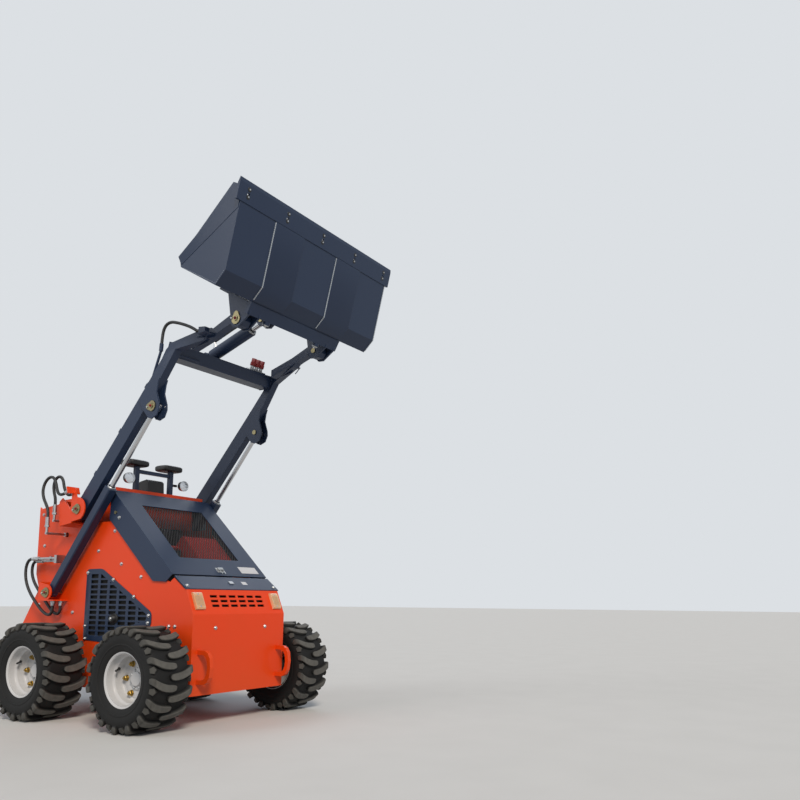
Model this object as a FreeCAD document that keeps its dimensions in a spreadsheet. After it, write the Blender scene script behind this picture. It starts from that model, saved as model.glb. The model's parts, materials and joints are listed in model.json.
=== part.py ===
import FreeCAD, Part
import math
import os

import Sketcher

# A compact wheeled skid steer loader, standing with its boom raised and its bucket carried level.
# Millimetres. X is forward, Y is to the machine's left, Z is up. The origin is on the ground,
# midway between the axles, which is also the middle of the machine's length.
# Every outline is drawn in length and height (x, z) and given its thickness across the machine.

os.makedirs("parts", exist_ok=True)
doc = FreeCAD.newDocument("loader")

# name, size in mm (degrees where the name ends in _angle), what it is
SIZES = [
    # wheels
    ("axle_half", 464, "half the wheelbase"),
    ("tyre_radius", 292, "radius over the lugs"),
    ("tyre_half", 133, "half the tyre width over the lugs"),
    ("tyre_face", 702, "half width of the machine over the tyres"),
    ("carcass_radius", 270, "tyre radius between the lugs"),
    ("crown_half", 104, "half width of the flat tread"),
    ("sidewall_half", 128, "half width at the bulge of the sidewall"),
    ("sidewall_radius", 214, "radius at the bulge of the sidewall"),
    ("lug_root", 262, "radius at which a lug leaves the carcass"),
    ("lug_shoulder", 278, "radius of a lug's outer end"),
    ("lug_foot", 240, "radius at the foot of a lug's outer end"),
    ("lug_half", 20, "half width of a lug at the shoulder"),
    ("lug_tail", 13, "half width of a lug's inner end"),
    ("lug_cross", 6, "a lug reaches past the middle of the tread by this"),
    ("lug_lead_angle", 13, "a lug's inner end runs ahead of its outer end"),
    ("rim_half", 108, "half width over the rim flanges"),
    ("flange_radius", 167, "radius of the rim flange"),
    ("seat_radius", 152, "radius of the bead seat"),
    ("rim_wall", 6, "thickness of the rim barrel"),
    ("disc_wall", 8, "thickness of the wheel disc"),
    ("disc_radius", 131, "radius of the flat of the wheel disc"),
    ("hub_cap_radius", 40, "radius of the hub cap"),
    ("hub_cap_length", 20, "hub cap in front of the wheel disc"),
    ("axle_tube_radius", 50, "radius of the fixed axle tube"),
    ("bead_gap", 0.3, "tyre bead over the rim seat"),
    ("running_gap", 0.3, "between a turning piece and what carries it"),
    # lower body
    ("body_half", 368, "half width over the side panels"),
    ("panel_wall", 8, "thickness of the side panels"),
    ("sheet_wall", 6, "thickness of folded sheets"),
    ("belly_height", 182, "underside of the body"),
    ("belly_wall", 10, "thickness of the belly plate"),
    ("front_x", 637, "front panel"),
    ("front_fold_height", 645, "fold at the top of the front panel"),
    ("slope_top_x", 572, "top of the sloped front"),
    ("slope_top_height", 790, "top of the sloped front"),
    ("vent_low", 47, "lowest row of front vents above the fold, along the slope"),
    ("vent_step", 30.5, "from one row of front vents to the next"),
    ("vent_height", 16, "height of a front vent"),
    ("vent_width", 56, "width of a front vent"),
    ("vent_pitch", 73, "from one front vent to the next"),
    ("strip_top_x", 470, "top of the dark strip"),
    ("strip_top_height", 866, "top of the dark strip"),
    ("strip_side", 6, "strip past the side panels"),
    ("rear_x", -900, "rear wall at the fender"),
    ("rear_x_side", -940, "rear of the side panels at the fender"),
    ("fender_x", -1000, "rear tip of the fender lip"),
    ("fender_height", 564, "fender lip"),
    ("notch_x", -888, "rear edge above the notch"),
    ("notch_low_x", -846, "foot of the notch"),
    ("notch_low_height", 794, "foot of the notch"),
    ("tower_rear_x", -894, "rear corner of the tower"),
    ("tower_top", 1344, "top of the tower at its rear"),
    ("tower_front_x", -520, "front of the tower's high part"),
    ("tower_peak", 1390, "highest edge of the tower"),
    ("waist_height", 1216, "panel edge between tower and hood"),
    ("waist_x", -136, "panel edge meets the hood here"),
    ("cowl_crest_x", -168, "crest of the cowl behind the hood"),
    ("cowl_height", 1442, "crest of the cowl behind the hood"),
    # side grilles
    ("grille_x", -314, "rear end of the grille's slots"),
    ("grille_low", 500, "lowest edge of the grille's slots"),
    ("slot_length", 72, "length of a grille slot"),
    ("slot_height", 22, "height of a grille slot"),
    ("slot_pitch", 84, "from one slot to the next in a row"),
    ("slot_rise", 37, "from one row of slots to the next"),
    # hood
    ("hood_half", 378, "half width over the hood skirts"),
    ("hood_wall", 4, "thickness of the hood sheet"),
    ("hood_low_x", 459, "front lower edge of the hood"),
    ("hood_low_height", 880, "front lower edge of the hood"),
    ("hood_high_x", -128, "rear upper edge of the hood"),
    ("hood_high_height", 1415, "rear upper edge of the hood"),
    ("skirt_depth", 146, "depth of the hood skirt"),
    ("mesh_low", 158, "mesh opening starts this far up the hood"),
    ("mesh_high", 662, "mesh opening ends this far up the hood"),
    ("mesh_half", 238, "half width of the mesh opening"),
    ("mesh_lap", 14, "mesh overlaps the edge of its opening"),
    ("mesh_wall", 3, "thickness of the mesh"),
    ("hood_pivot_x", -89, "hood hinge"),
    ("hood_pivot_height", 1269, "hood hinge"),
    ("hinge_radius", 10, "hood hinge pins"),
    # boom
    ("pivot_x", -350, "boom pivot"),
    ("pivot_height", 1295, "boom pivot"),
    ("boom_centre", 420, "middle of each arm from the machine's middle"),
    ("arm_width", 50, "arm tube across the machine"),
    ("arm_depth", 98, "arm tube in side view"),
    ("arm_angle", 49.4, "arm above level"),
    ("arm_tail", 45, "arm tube behind its pivot"),
    ("knee_along", 1010, "boom pivot to the inside of the knee"),
    ("cheek_wall", 8, "plates on both sides of the arm"),
    ("rod_pin_x", 287, "lift rod pin"),
    ("rod_pin_height", 1891, "lift rod pin"),
    ("hitch_x", 885, "hitch pivot"),
    ("hitch_height", 2360, "hitch pivot"),
    ("tip_inner", 308, "inner side of the boom tip"),
    ("tip_outer", 360, "outer side of the boom tip"),
    ("pin_radius", 16, "all pivot pins"),
    ("lug_gap", 5, "arm's plates to the tower's lugs"),
    ("lug_wall", 8, "thickness of the tower's lugs"),
    ("keeper_wall", 6, "thickness of the pin keepers"),
    # lift cylinders
    ("lift_base_x", -612, "lift cylinder base pin"),
    ("lift_base_height", 770, "lift cylinder base pin"),
    ("lift_guard_half", 29, "half width of the square lift barrel"),
    ("lift_rod_radius", 14, "lift rod"),
    ("lift_barrel_length", 832, "base pin to the end of the gland"),
    ("eye_width", 34, "width of the cylinder eyes"),
    ("eye_radius", 30, "outside of the cylinder eyes"),
    # tilt cylinder
    ("tilt_base_x", 240, "tilt cylinder base pin"),
    ("tilt_base_height", 2318, "tilt cylinder base pin"),
    ("tilt_pin_x", 730, "tilt rod pin on the hitch"),
    ("tilt_pin_height", 2492, "tilt rod pin on the hitch"),
    ("tilt_barrel_radius", 38, "outside of the tilt barrel"),
    ("tilt_rod_radius", 17, "tilt rod"),
    ("tilt_barrel_length", 398, "base pin to the end of the gland"),
    ("tilt_shaft_length", 412, "tilt rod without its eye"),
    # bucket
    ("bucket_half", 657, "half width of the bucket shell"),
    ("edge_half", 687, "half width of the cutting edge"),
    ("shell_wall", 7, "thickness of the bucket sheet"),
    ("edge_wall", 16, "thickness of the cutting edge"),
    ("edge_proud", 4, "cutting edge stands out of the floor's outer face"),
    ("edge_x", 1204, "tip of the cutting edge"),
    ("edge_height", 3000, "tip of the cutting edge"),
    ("edge_depth", 122, "depth of the cutting edge"),
    ("edge_hole", 18, "square bolt holes in the cutting edge"),
    ("edge_hole_pitch", 307, "from one bolt hole to the next"),
    ("fold_x", 1088, "floor meets the heel"),
    ("fold_height", 2507, "floor meets the heel"),
    ("heel_x", 1012, "heel meets the back"),
    ("heel_height", 2435, "heel meets the back"),
    ("back_x", 731, "back meets the top lip"),
    ("back_height", 2595, "back meets the top lip"),
    ("lip_x", 720, "top lip's edge"),
    ("lip_height", 2651, "top lip's edge"),
    ("hitch_half", 390, "half width of the quick hitch"),
    ("hitch_stand", 8, "hitch plate behind the bucket's back"),
    ("hitch_wall", 14, "thickness of the hitch plate"),
    ("ear_wall", 12, "thickness of the hitch's ears"),
    ("ear_gap", 6, "hitch ears to the boom tips"),
    ("fork_gap", 4, "hitch fork to the tilt rod's eye"),
    # rear
    ("platform_rear", -1204, "rear edge of the operator's platform"),
    ("platform_height", 300, "top of the operator's platform"),
    ("platform_depth", 40, "depth of the platform's edges"),
    ("platform_half", 300, "half width of the operator's platform"),
    # hydraulic lines
    ("hose_radius", 9, "outside of the hoses"),
    ("ferrule_radius", 12, "outside of the hose ends"),
    ("line_radius", 8, "outside of the steel lines"),
    ("port_x", -588, "upper ports in the side panel"),
    ("port_high", 1231, "upper port"),
    ("port_low", 1146, "lower port"),
    ("side_line_height", 990, "steel lines along the side panel"),
]

sheet = doc.addObject("Spreadsheet::Sheet", "sizes")
for row, (alias, size, meaning) in enumerate(SIZES, start=1):
    sheet.set(f"A{row}", alias)
    sheet.set(f"B{row}", str(size))
    sheet.set(f"C{row}", meaning)
    sheet.setAlias(f"B{row}", alias)
doc.recompute()


# Sizes that remember the cells they come from
class Size:
    """A number together with the sheet expression that gives it."""

    def __init__(self, number, text=None):
        self.number = float(number)
        self.text = text if text is not None else repr(float(number))

    def __add__(self, other):
        other = as_size(other)
        return Size(self.number + other.number, f"({self.text} + {other.text})")

    def __sub__(self, other):
        other = as_size(other)
        return Size(self.number - other.number, f"({self.text} - {other.text})")

    def __mul__(self, other):
        other = as_size(other)
        return Size(self.number * other.number, f"({self.text} * {other.text})")

    def __truediv__(self, other):
        other = as_size(other)
        return Size(self.number / other.number, f"({self.text} / {other.text})")

    def __neg__(self):
        return Size(-self.number, f"(0 - {self.text})")

    def __radd__(self, other):
        return as_size(other) + self

    def __rsub__(self, other):
        return as_size(other) - self

    def __rmul__(self, other):
        return as_size(other) * self


def as_size(value):
    return value if isinstance(value, Size) else Size(value)


class Sheet:
    """sizes.name gives the named cell as a Size."""

    def __getattr__(self, name):
        return Size(sheet.get(name), f"sizes.{name}")


sizes = Sheet()


def root(value):
    return Size(math.sqrt(value.number), f"sqrt({value.text})")


def cosine(angle):
    return Size(math.cos(math.radians(angle.number)), f"cos({angle.text} * 1 deg)")


def sine(angle):
    return Size(math.sin(math.radians(angle.number)), f"sin({angle.text} * 1 deg)")


def bind(thing, prop, value):
    """Set a property's expression, so that it follows the sheet."""
    thing.setExpression(prop, as_size(value).text)


def near(point, across, up):
    """The point that lies across and up from another one."""
    return as_size(point[0]) + across, as_size(point[1]) + up


def around(centre, radius, first, last, count):
    """Points on a round stretch, from one angle to another in degrees above forward."""
    step = (last - first) / (count - 1)
    angles = [math.radians(first + step * index) for index in range(count)]
    return [near(centre, radius * math.cos(angle), radius * math.sin(angle)) for angle in angles]


class Line:
    """A direction in side view: at(along, off) is the point that far along it and off to its left."""

    def __init__(self, start, finish):
        self.start = [as_size(value) for value in start]
        run = as_size(finish[0]) - start[0]
        rise = as_size(finish[1]) - start[1]
        self.length = root(run * run + rise * rise)
        self.cos = run / self.length
        self.sin = rise / self.length

    def at(self, along, off=0.0):
        along = as_size(along)
        off = as_size(off)
        x = self.start[0] + along * self.cos - off * self.sin
        z = self.start[1] + along * self.sin + off * self.cos
        return x, z

    def height_at(self, x):
        """The point of the line at the given length."""
        x = as_size(x)
        return x, self.start[1] + (x - self.start[0]) * self.sin / self.cos


# Ways of making solids
UPRIGHT = FreeCAD.Rotation(FreeCAD.Vector(1, 0, 0), 90)
ACROSS = FreeCAD.Rotation(FreeCAD.Vector(1, 0, 0), -90)
FORWARD = FreeCAD.Rotation(FreeCAD.Vector(0, 1, 0), 90)


def place(thing, x, y, z, rotation=FreeCAD.Rotation()):
    """Put a thing where the sizes say, by expressions on its placement."""
    values = [as_size(value) for value in (x, y, z)]
    thing.Placement = FreeCAD.Placement(FreeCAD.Vector(*[value.number for value in values]), rotation)
    for axis, value in zip("xyz", values):
        bind(thing, f"Placement.Base.{axis}", value)


def outline(name, points):
    """A closed sketch through the points, every corner held by two expressions."""
    sketch = doc.addObject("Sketcher::SketchObject", name)
    points = [(as_size(across), as_size(up)) for across, up in points]
    corners = [FreeCAD.Vector(across.number, up.number, 0) for across, up in points]
    count = len(corners)
    for index in range(count):
        sketch.addGeometry(Part.LineSegment(corners[index], corners[(index + 1) % count]), False)
    for index in range(count):
        sketch.addConstraint(Sketcher.Constraint("Coincident", index, 2, (index + 1) % count, 1))
    for index, (across, up) in enumerate(points):
        for kind, value in (("DistanceX", across), ("DistanceY", up)):
            number = sketch.addConstraint(Sketcher.Constraint(kind, -1, 1, index, 1, value.number))
            bind(sketch, f"Constraints[{number}]", value)
    return sketch


def plate(name, points, y_low, y_high):
    """An outline in side view, given its thickness from y_low to y_high."""
    sketch = outline(name + "_outline", points)
    place(sketch, 0, y_low, 0, UPRIGHT)
    solid = doc.addObject("Part::Extrusion", name)
    solid.Base = sketch
    solid.DirMode = "Custom"
    solid.Dir = FreeCAD.Vector(0, 1, 0)
    solid.Solid = True
    bind(solid, "LengthFwd", as_size(y_high) - y_low)
    return solid


def block(name, x_range, y_range, z_range):
    """A box between two values each way."""
    solid = doc.addObject("Part::Box", name)
    for prop, (low, high) in zip(("Length", "Width", "Height"), (x_range, y_range, z_range)):
        bind(solid, prop, as_size(high) - low)
    place(solid, x_range[0], y_range[0], z_range[0])
    return solid


def pin(name, centre, y_low, y_high, radius):
    """A cylinder across the machine."""
    solid = doc.addObject("Part::Cylinder", name)
    bind(solid, "Radius", radius)
    bind(solid, "Height", as_size(y_high) - y_low)
    place(solid, centre[0], y_low, centre[1], ACROSS)
    return solid


def point_along(thing, line, start, y):
    """Place a thing on a line in side view, with its own Z along that line."""
    x, z = line.at(start)
    tilt = math.degrees(math.atan2(line.cos.number, line.sin.number))
    place(thing, x, y, z, FreeCAD.Rotation(FreeCAD.Vector(0, 1, 0), tilt))
    bind(thing, "Placement.Rotation.Angle", Size(tilt, f"atan2({line.cos.text}; {line.sin.text})"))


def bar(name, line, start, finish, y, radius):
    """A round bar along a line in side view, from start to finish along it."""
    solid = doc.addObject("Part::Cylinder", name)
    bind(solid, "Radius", radius)
    bind(solid, "Height", as_size(finish) - start)
    point_along(solid, line, start, y)
    return solid


def beam(name, line, start, finish, y, points):
    """A bar of the given section along a line in side view."""
    sketch = outline(name + "_section", points)
    point_along(sketch, line, start, y)
    solid = doc.addObject("Part::Extrusion", name)
    solid.Base = sketch
    solid.DirMode = "Normal"
    solid.Solid = True
    bind(solid, "LengthFwd", as_size(finish) - start)
    return solid


def fuse(name, solids):
    whole = doc.addObject("Part::MultiFuse", name)
    whole.Shapes = solids
    whole.Refine = True
    return whole


def gather(name, solids):
    """Pieces of one kind that don't touch, kept together."""
    whole = doc.addObject("Part::Compound", name)
    whole.Links = solids
    return whole


def cut(name, base, tool):
    rest = doc.addObject("Part::Cut", name)
    rest.Base = base
    rest.Tool = tool
    rest.Refine = True
    return rest


pieces = []


def finish(label, solid):
    """Give a sub-part the name of its file."""
    solid.Label = label
    pieces.append(solid)
    return solid


# side, sign of Y
SIDES = [("right", -1), ("left", 1)]


def span(sign, near_y, far_y):
    """Values of Y from near to far on one side of the machine, lowest first."""
    near_y = as_size(near_y)
    far_y = as_size(far_y)
    return (near_y, far_y) if sign > 0 else (-far_y, -near_y)


# Wheels: lugged tyre on a dished rim, turning on a fixed axle tube.
# They are made of flat faces, twice as many around as the tyre has lugs on one side.
LUGS = 15
FACETS = 2 * LUGS


def size_of(name):
    return float(sheet.get(name))


def wheel_point(across, radius, angle):
    angle = math.radians(angle)
    return FreeCAD.Vector(radius * math.cos(angle), across, radius * math.sin(angle))


def closed_solid(polygons):
    """A solid from the flat polygons that bound it."""
    faces = [Part.Face(Part.makePolygon(list(corners) + [corners[0]])) for corners in polygons]
    shell = Part.makeShell(faces)
    shell.sewShape()
    solid = Part.Solid(shell)
    if solid.Volume < 0:
        solid.reverse()
    return solid


def ring(profile):
    """A closed profile of (across, radius) points, taken round the wheel in flat facets."""
    polygons = []
    turns = [360.0 * index / FACETS for index in range(FACETS)]
    for index, (across, radius) in enumerate(profile):
        next_across, next_radius = profile[(index + 1) % len(profile)]
        if radius == 0 and next_radius == 0:
            continue
        if radius == 0 or next_radius == 0:
            polygons.append([wheel_point(across, max(radius, next_radius), turn) for turn in turns])
            continue
        for turn in turns:
            after = turn + 360.0 / FACETS
            polygons.append([
                wheel_point(across, radius, turn), wheel_point(across, radius, after),
                wheel_point(next_across, next_radius, after), wheel_point(next_across, next_radius, turn),
            ])
    return closed_solid(polygons)


def tread_lug(angle, side):
    """One curved lug from the shoulder, down its outer end, to just past the middle of the tread."""
    crown = size_of("crown_half")
    top = size_of("tyre_radius")
    foot = size_of("lug_root")
    wide = size_of("lug_half")
    lead = size_of("lug_lead_angle")
    # across and radius of the top, across and radius of the foot, lead, half width
    sections = [
        (size_of("tyre_half"), size_of("lug_shoulder"), crown + 8, size_of("lug_foot"), 0.0, wide),
        (crown, top, crown, foot, 0.0, wide),
        (crown / 2, top, crown / 2, foot, 0.35 * lead, 0.9 * wide),
        (-size_of("lug_cross"), top, -size_of("lug_cross"), foot, lead, size_of("lug_tail")),
    ]
    rows = []
    for top_across, top_radius, foot_across, foot_radius, ahead, half in sections:
        spread = math.degrees(half / top)
        corners = []
        for across, radius, turn in ((top_across, top_radius, spread), (top_across, top_radius, -spread),
                                     (foot_across, foot_radius, -spread), (foot_across, foot_radius, spread)):
            corners.append(wheel_point(side * across, radius, angle - ahead + turn))
        rows.append(corners)
    polygons = []
    for one, two in zip(rows, rows[1:]):
        for index in range(4):
            after = (index + 1) % 4
            polygons.append((one[index], one[after], two[after]))
            polygons.append((one[index], two[after], two[index]))
    for corners in (rows[0], rows[-1]):
        polygons.append(corners[:3])
        polygons.append((corners[0], corners[2], corners[3]))
    return closed_solid(polygons)


def tyre_shape():
    """Beads on the rim, bulged sidewalls, a flat tread, and a row of lugs from each shoulder."""
    gap = size_of("bead_gap")
    half = [
        (size_of("rim_half") - 8.5, size_of("seat_radius") + gap),
        (size_of("rim_half") - 0.5, size_of("flange_radius") + gap),
        (size_of("sidewall_half"), size_of("sidewall_radius")),
        (size_of("crown_half"), size_of("carcass_radius")),
    ]
    carcass = ring(half + [(-across, radius) for across, radius in reversed(half)])
    pitch = 360.0 / LUGS
    lowest = -90 - math.degrees(size_of("lug_half") / size_of("tyre_radius"))
    lugs = [tread_lug(lowest + pitch * index, 1) for index in range(LUGS)]
    lugs += [tread_lug(lowest + pitch * (index + 0.5), -1) for index in range(LUGS)]
    return carcass.multiFuse(lugs).removeSplitter()


def rim_shape():
    """Barrel with flanges, dished disc and hub cap. Across is outward from the wheel's middle."""
    half = size_of("rim_half")
    flange = size_of("flange_radius")
    seat = size_of("seat_radius")
    inner = seat - size_of("rim_wall")
    disc = size_of("disc_wall") / 2
    cap = disc + size_of("hub_cap_length")
    return ring([
        (half, flange), (half - 8, seat), (8 - half, seat), (-half, flange), (11 - half, inner),
        (disc + 4, inner), (-disc, size_of("disc_radius") + 3), (-disc, 0), (cap, 0),
        (cap, size_of("hub_cap_radius")), (disc, size_of("hub_cap_radius")),
        (disc, size_of("disc_radius")), (disc + 14, inner), (half - 11, inner),
    ])


wheel_forms = {}
for form_name, form_shape in (("tyre", tyre_shape()), ("rim", rim_shape())):
    form = doc.addObject("Part::Feature", form_name + "_form")
    form.Shape = form_shape
    mirror = doc.addObject("Part::Mirroring", form_name + "_form_mirrored")
    mirror.Source = form
    mirror.Normal = FreeCAD.Vector(0, 1, 0)
    wheel_forms[form_name] = {"left": form, "right": mirror}

wheel_middle = sizes.tyre_face - sizes.tyre_half
ENDS = [("front", 1), ("rear", -1)]
for end, end_sign in ENDS:
    for side, sign in SIDES:
        for form_name in ("rim", "tyre"):
            wheel_part = gather(f"{form_name}_{end}_{side}", [wheel_forms[form_name][side]])
            place(wheel_part, end_sign * sizes.axle_half, sign * wheel_middle, sizes.tyre_radius)
            finish(f"{form_name}_{end}_{side}", wheel_part)

disc_back = wheel_middle - sizes.disc_wall / 2
tubes = []
for end, end_sign in ENDS:
    for side, sign in SIDES:
        y_low, y_high = span(sign, sizes.body_half, disc_back - sizes.running_gap)
        centre = (end_sign * sizes.axle_half, sizes.tyre_radius)
        tubes.append(pin(f"axle_{end}_{side}", centre, y_low, y_high, sizes.axle_tube_radius))
finish("axle_tubes", gather("axle_tubes", tubes))

# Body: side panels with their towers, belly, front, strip, rear wall
inner_half = sizes.body_half - sizes.panel_wall
hood_slope = Line((sizes.hood_low_x, sizes.hood_low_height), (sizes.hood_high_x, sizes.hood_high_height))
hood_pivot = (sizes.hood_pivot_x, sizes.hood_pivot_height)
panel_under_hood = 22
skirt_edge = sizes.skirt_depth - panel_under_hood
ear_half = 27


def side_outline():
    """One side of the body, from the belly's front corner round to its rear."""
    return [
        (sizes.front_x, sizes.belly_height), (sizes.front_x, sizes.front_fold_height),
        (sizes.slope_top_x, sizes.slope_top_height),
        (sizes.strip_top_x - 40, sizes.slope_top_height + 40), hood_slope.at(200, skirt_edge),
        near(hood_pivot, ear_half, -82), near(hood_pivot, ear_half, 21), near(hood_pivot, -ear_half, 21),
        (sizes.hood_pivot_x - 33, sizes.waist_height), (sizes.waist_x - 20, sizes.waist_height),
        (sizes.tower_front_x + 70, sizes.waist_height), (sizes.tower_front_x, sizes.tower_peak - 6),
        (sizes.tower_front_x - 135, sizes.tower_peak - 12), (sizes.tower_rear_x + 196, sizes.tower_top + 8),
        (sizes.tower_rear_x + 90, sizes.tower_top - 2), (sizes.tower_rear_x + 24, sizes.tower_top - 14),
        (sizes.tower_rear_x, sizes.tower_top), (sizes.notch_x, sizes.notch_low_height + 100),
        (sizes.notch_low_x, sizes.notch_low_height), (sizes.rear_x_side, sizes.fender_height + 90),
        (sizes.fender_x, sizes.fender_height), (sizes.rear_x, sizes.fender_height - 10),
        (sizes.rear_x, sizes.belly_height),
    ]


grille_corner = (sizes.grille_x, sizes.grille_low)
# across and up from the rear lower slot's corner
GRILLE_EDGE = [(-23, 400), (-8, 418), (109, 420), (128, 412), (583, 158), (598, 144), (598, 79), (588, 68),
               (150, -36), (-22, -25), (-31, -15)]
GRILLE_WINDOW = [(-8, 396), (109, 396), (560, 136), (560, 98), (142, -12), (-8, -8)]
# slots in each row, from the lowest row up
GRILLE_ROWS = [2, 3, 5, 6, 5, 5, 4, 3, 2, 2, 1]

side_panels = []
side_grilles = []
for side, sign in SIDES:
    y_low, y_high = span(sign, inner_half, sizes.body_half)
    sheet_metal = plate(f"side_sheet_{side}", side_outline(), y_low, y_high)
    holes = [plate(f"side_window_{side}", [near(grille_corner, *point) for point in GRILLE_WINDOW],
                   y_low - 1, y_high + 1)]
    if side == "right":
        for port_name, height in (("high", sizes.port_high), ("low", sizes.port_low)):
            port = (sizes.port_x + 7, height)
            reach = sizes.line_radius + sizes.running_gap + 7
            corners = [(-1, -0.4), (-1, 0.4), (-0.4, 1), (0.4, 1), (1, 0.4), (1, -0.4), (0.4, -1), (-0.4, -1)]
            holes.append(plate(f"port_{port_name}", [near(port, reach * across, reach * up)
                                                     for across, up in corners], y_low - 1, y_high + 1))
    side_panels.append(cut(f"side_panel_{side}", sheet_metal, gather(f"side_holes_{side}", holes)))
    y_low, y_high = span(sign, sizes.body_half, sizes.body_half + 4)
    guard = plate(f"grille_guard_{side}", [near(grille_corner, *point) for point in GRILLE_EDGE], y_low, y_high)
    slots = []
    for row, count in enumerate(GRILLE_ROWS):
        low = sizes.grille_low + row * sizes.slot_rise
        for column in range(count):
            rear = sizes.grille_x + column * sizes.slot_pitch
            slots.append(block(f"slot_{side}_{row}_{column}", (rear, rear + sizes.slot_length),
                               (y_low - 1, y_high + 1), (low, low + sizes.slot_height)))
    side_grilles.append(cut(f"side_grille_{side}", guard, gather(f"slots_{side}", slots)))
finish("side_panels", gather("side_panels", side_panels))
finish("side_grilles", gather("side_grilles", side_grilles))

belly_top = sizes.belly_height + sizes.belly_wall
finish("belly_plate", block("belly_plate", (sizes.rear_x, sizes.front_x - sizes.sheet_wall),
                            (-inner_half, inner_half), (sizes.belly_height, belly_top)))

front_face = Line((sizes.front_x, sizes.front_fold_height), (sizes.slope_top_x, sizes.slope_top_height))
front_sheet = plate("front_sheet", [
    (sizes.front_x, sizes.belly_height), (sizes.front_x, sizes.front_fold_height),
    (sizes.slope_top_x, sizes.slope_top_height),
    front_face.at(front_face.length, sizes.sheet_wall),
    (sizes.front_x - sizes.sheet_wall, sizes.front_fold_height - 1.5),
    (sizes.front_x - sizes.sheet_wall, sizes.belly_height),
], -inner_half, inner_half)
VENT_ROWS = 3
VENT_COLUMNS = 6
vents = []
for row in range(VENT_ROWS):
    low = sizes.vent_low + row * sizes.vent_step
    for column in range(VENT_COLUMNS):
        middle = (column - (VENT_COLUMNS - 1) / 2) * sizes.vent_pitch
        vents.append(plate(f"vent_{row}_{column}", [
            front_face.at(low, -1), front_face.at(low + sizes.vent_height, -1),
            front_face.at(low + sizes.vent_height, sizes.sheet_wall + 1),
            front_face.at(low, sizes.sheet_wall + 1),
        ], middle - sizes.vent_width / 2, middle + sizes.vent_width / 2))
finish("front_panel", cut("front_panel", front_sheet, gather("vents", vents)))

strip_slope = Line((sizes.slope_top_x, sizes.slope_top_height), (sizes.strip_top_x, sizes.strip_top_height))
finish("front_strip", plate("front_strip", [
    strip_slope.at(0), strip_slope.at(0, -sizes.sheet_wall),
    strip_slope.at(strip_slope.length, -sizes.sheet_wall), strip_slope.at(strip_slope.length),
], -sizes.body_half - sizes.strip_side, sizes.body_half + sizes.strip_side))

wall = sizes.sheet_wall
rear_inset = 8
notch_inner = sizes.notch_x + rear_inset
roof_drop = 28
finish("rear_wall", plate("rear_wall", [
    (sizes.rear_x, belly_top), (sizes.rear_x, sizes.notch_low_height - 104),
    (sizes.notch_low_x + rear_inset, sizes.notch_low_height), (notch_inner, sizes.notch_low_height + 100),
    (notch_inner, sizes.tower_top - roof_drop), (notch_inner + wall, sizes.tower_top - roof_drop),
    (notch_inner + wall, sizes.notch_low_height + 99),
    (sizes.notch_low_x + rear_inset + wall, sizes.notch_low_height),
    (sizes.rear_x + wall, sizes.notch_low_height - 106), (sizes.rear_x + wall, belly_top),
], -inner_half, inner_half))

cowl_crest = (sizes.cowl_crest_x, sizes.cowl_height)
cowl_ridge = (sizes.tower_front_x, sizes.tower_peak - 6)
cowl_rear = (notch_inner, sizes.tower_top - roof_drop + wall)
front_roof = Line(cowl_ridge, cowl_crest)
rear_roof = Line(cowl_rear, cowl_ridge)
leg = 100
finish("cowl", plate("cowl", [
    cowl_crest, cowl_ridge, cowl_rear, near(cowl_rear, 0, -wall), near(cowl_ridge, 0, -wall),
    front_roof.height_at(sizes.cowl_crest_x - leg)[:1] + (front_roof.height_at(sizes.cowl_crest_x - leg)[1] - wall,),
    (sizes.cowl_crest_x - leg, sizes.cowl_height - 226),
    (sizes.cowl_crest_x - leg + wall, sizes.cowl_height - 226),
    front_roof.height_at(sizes.cowl_crest_x - leg + wall)[:1]
    + (front_roof.height_at(sizes.cowl_crest_x - leg + wall)[1] - wall,),
    near(cowl_crest, -wall, -wall - 1), near(cowl_crest, -wall, -30), near(cowl_crest, 0, -30),
], -inner_half, inner_half))

deck = block("platform_deck", (sizes.platform_rear, sizes.rear_x), (-sizes.platform_half, sizes.platform_half),
             (sizes.platform_height - wall, sizes.platform_height))
edges = [block("platform_lip", (sizes.platform_rear, sizes.platform_rear + wall),
               (-sizes.platform_half, sizes.platform_half),
               (sizes.platform_height - sizes.platform_depth, sizes.platform_height))]
for side, sign in SIDES:
    y_low, y_high = span(sign, sizes.platform_half - wall, sizes.platform_half)
    edges.append(plate(f"platform_side_{side}", [
        (sizes.platform_rear, sizes.platform_height), (sizes.rear_x, sizes.platform_height),
        (sizes.rear_x, sizes.platform_height - 2 * sizes.platform_depth),
        (sizes.platform_rear, sizes.platform_height - sizes.platform_depth),
    ], y_low, y_high))
finish("platform", fuse("platform", [deck] + edges))

finish("engine_block", block("engine_block", (-190, 340), (-210, 210), (belly_top, 740)))
shroud = plate("shroud", [
    hood_slope.at(165, 45), hood_slope.at(435, 45), hood_slope.at(435, 120), hood_slope.at(165, 120),
], -30, 236)
rails = []
for rail, along in (("low", 185), ("high", 395)):
    rails.append(plate(f"shroud_rail_{rail}", [
        hood_slope.at(along, 116), hood_slope.at(along + 24, 116),
        hood_slope.at(along + 24, 132), hood_slope.at(along, 132),
    ], -inner_half, inner_half))
finish("radiator", fuse("radiator", [shroud] + rails))

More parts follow.
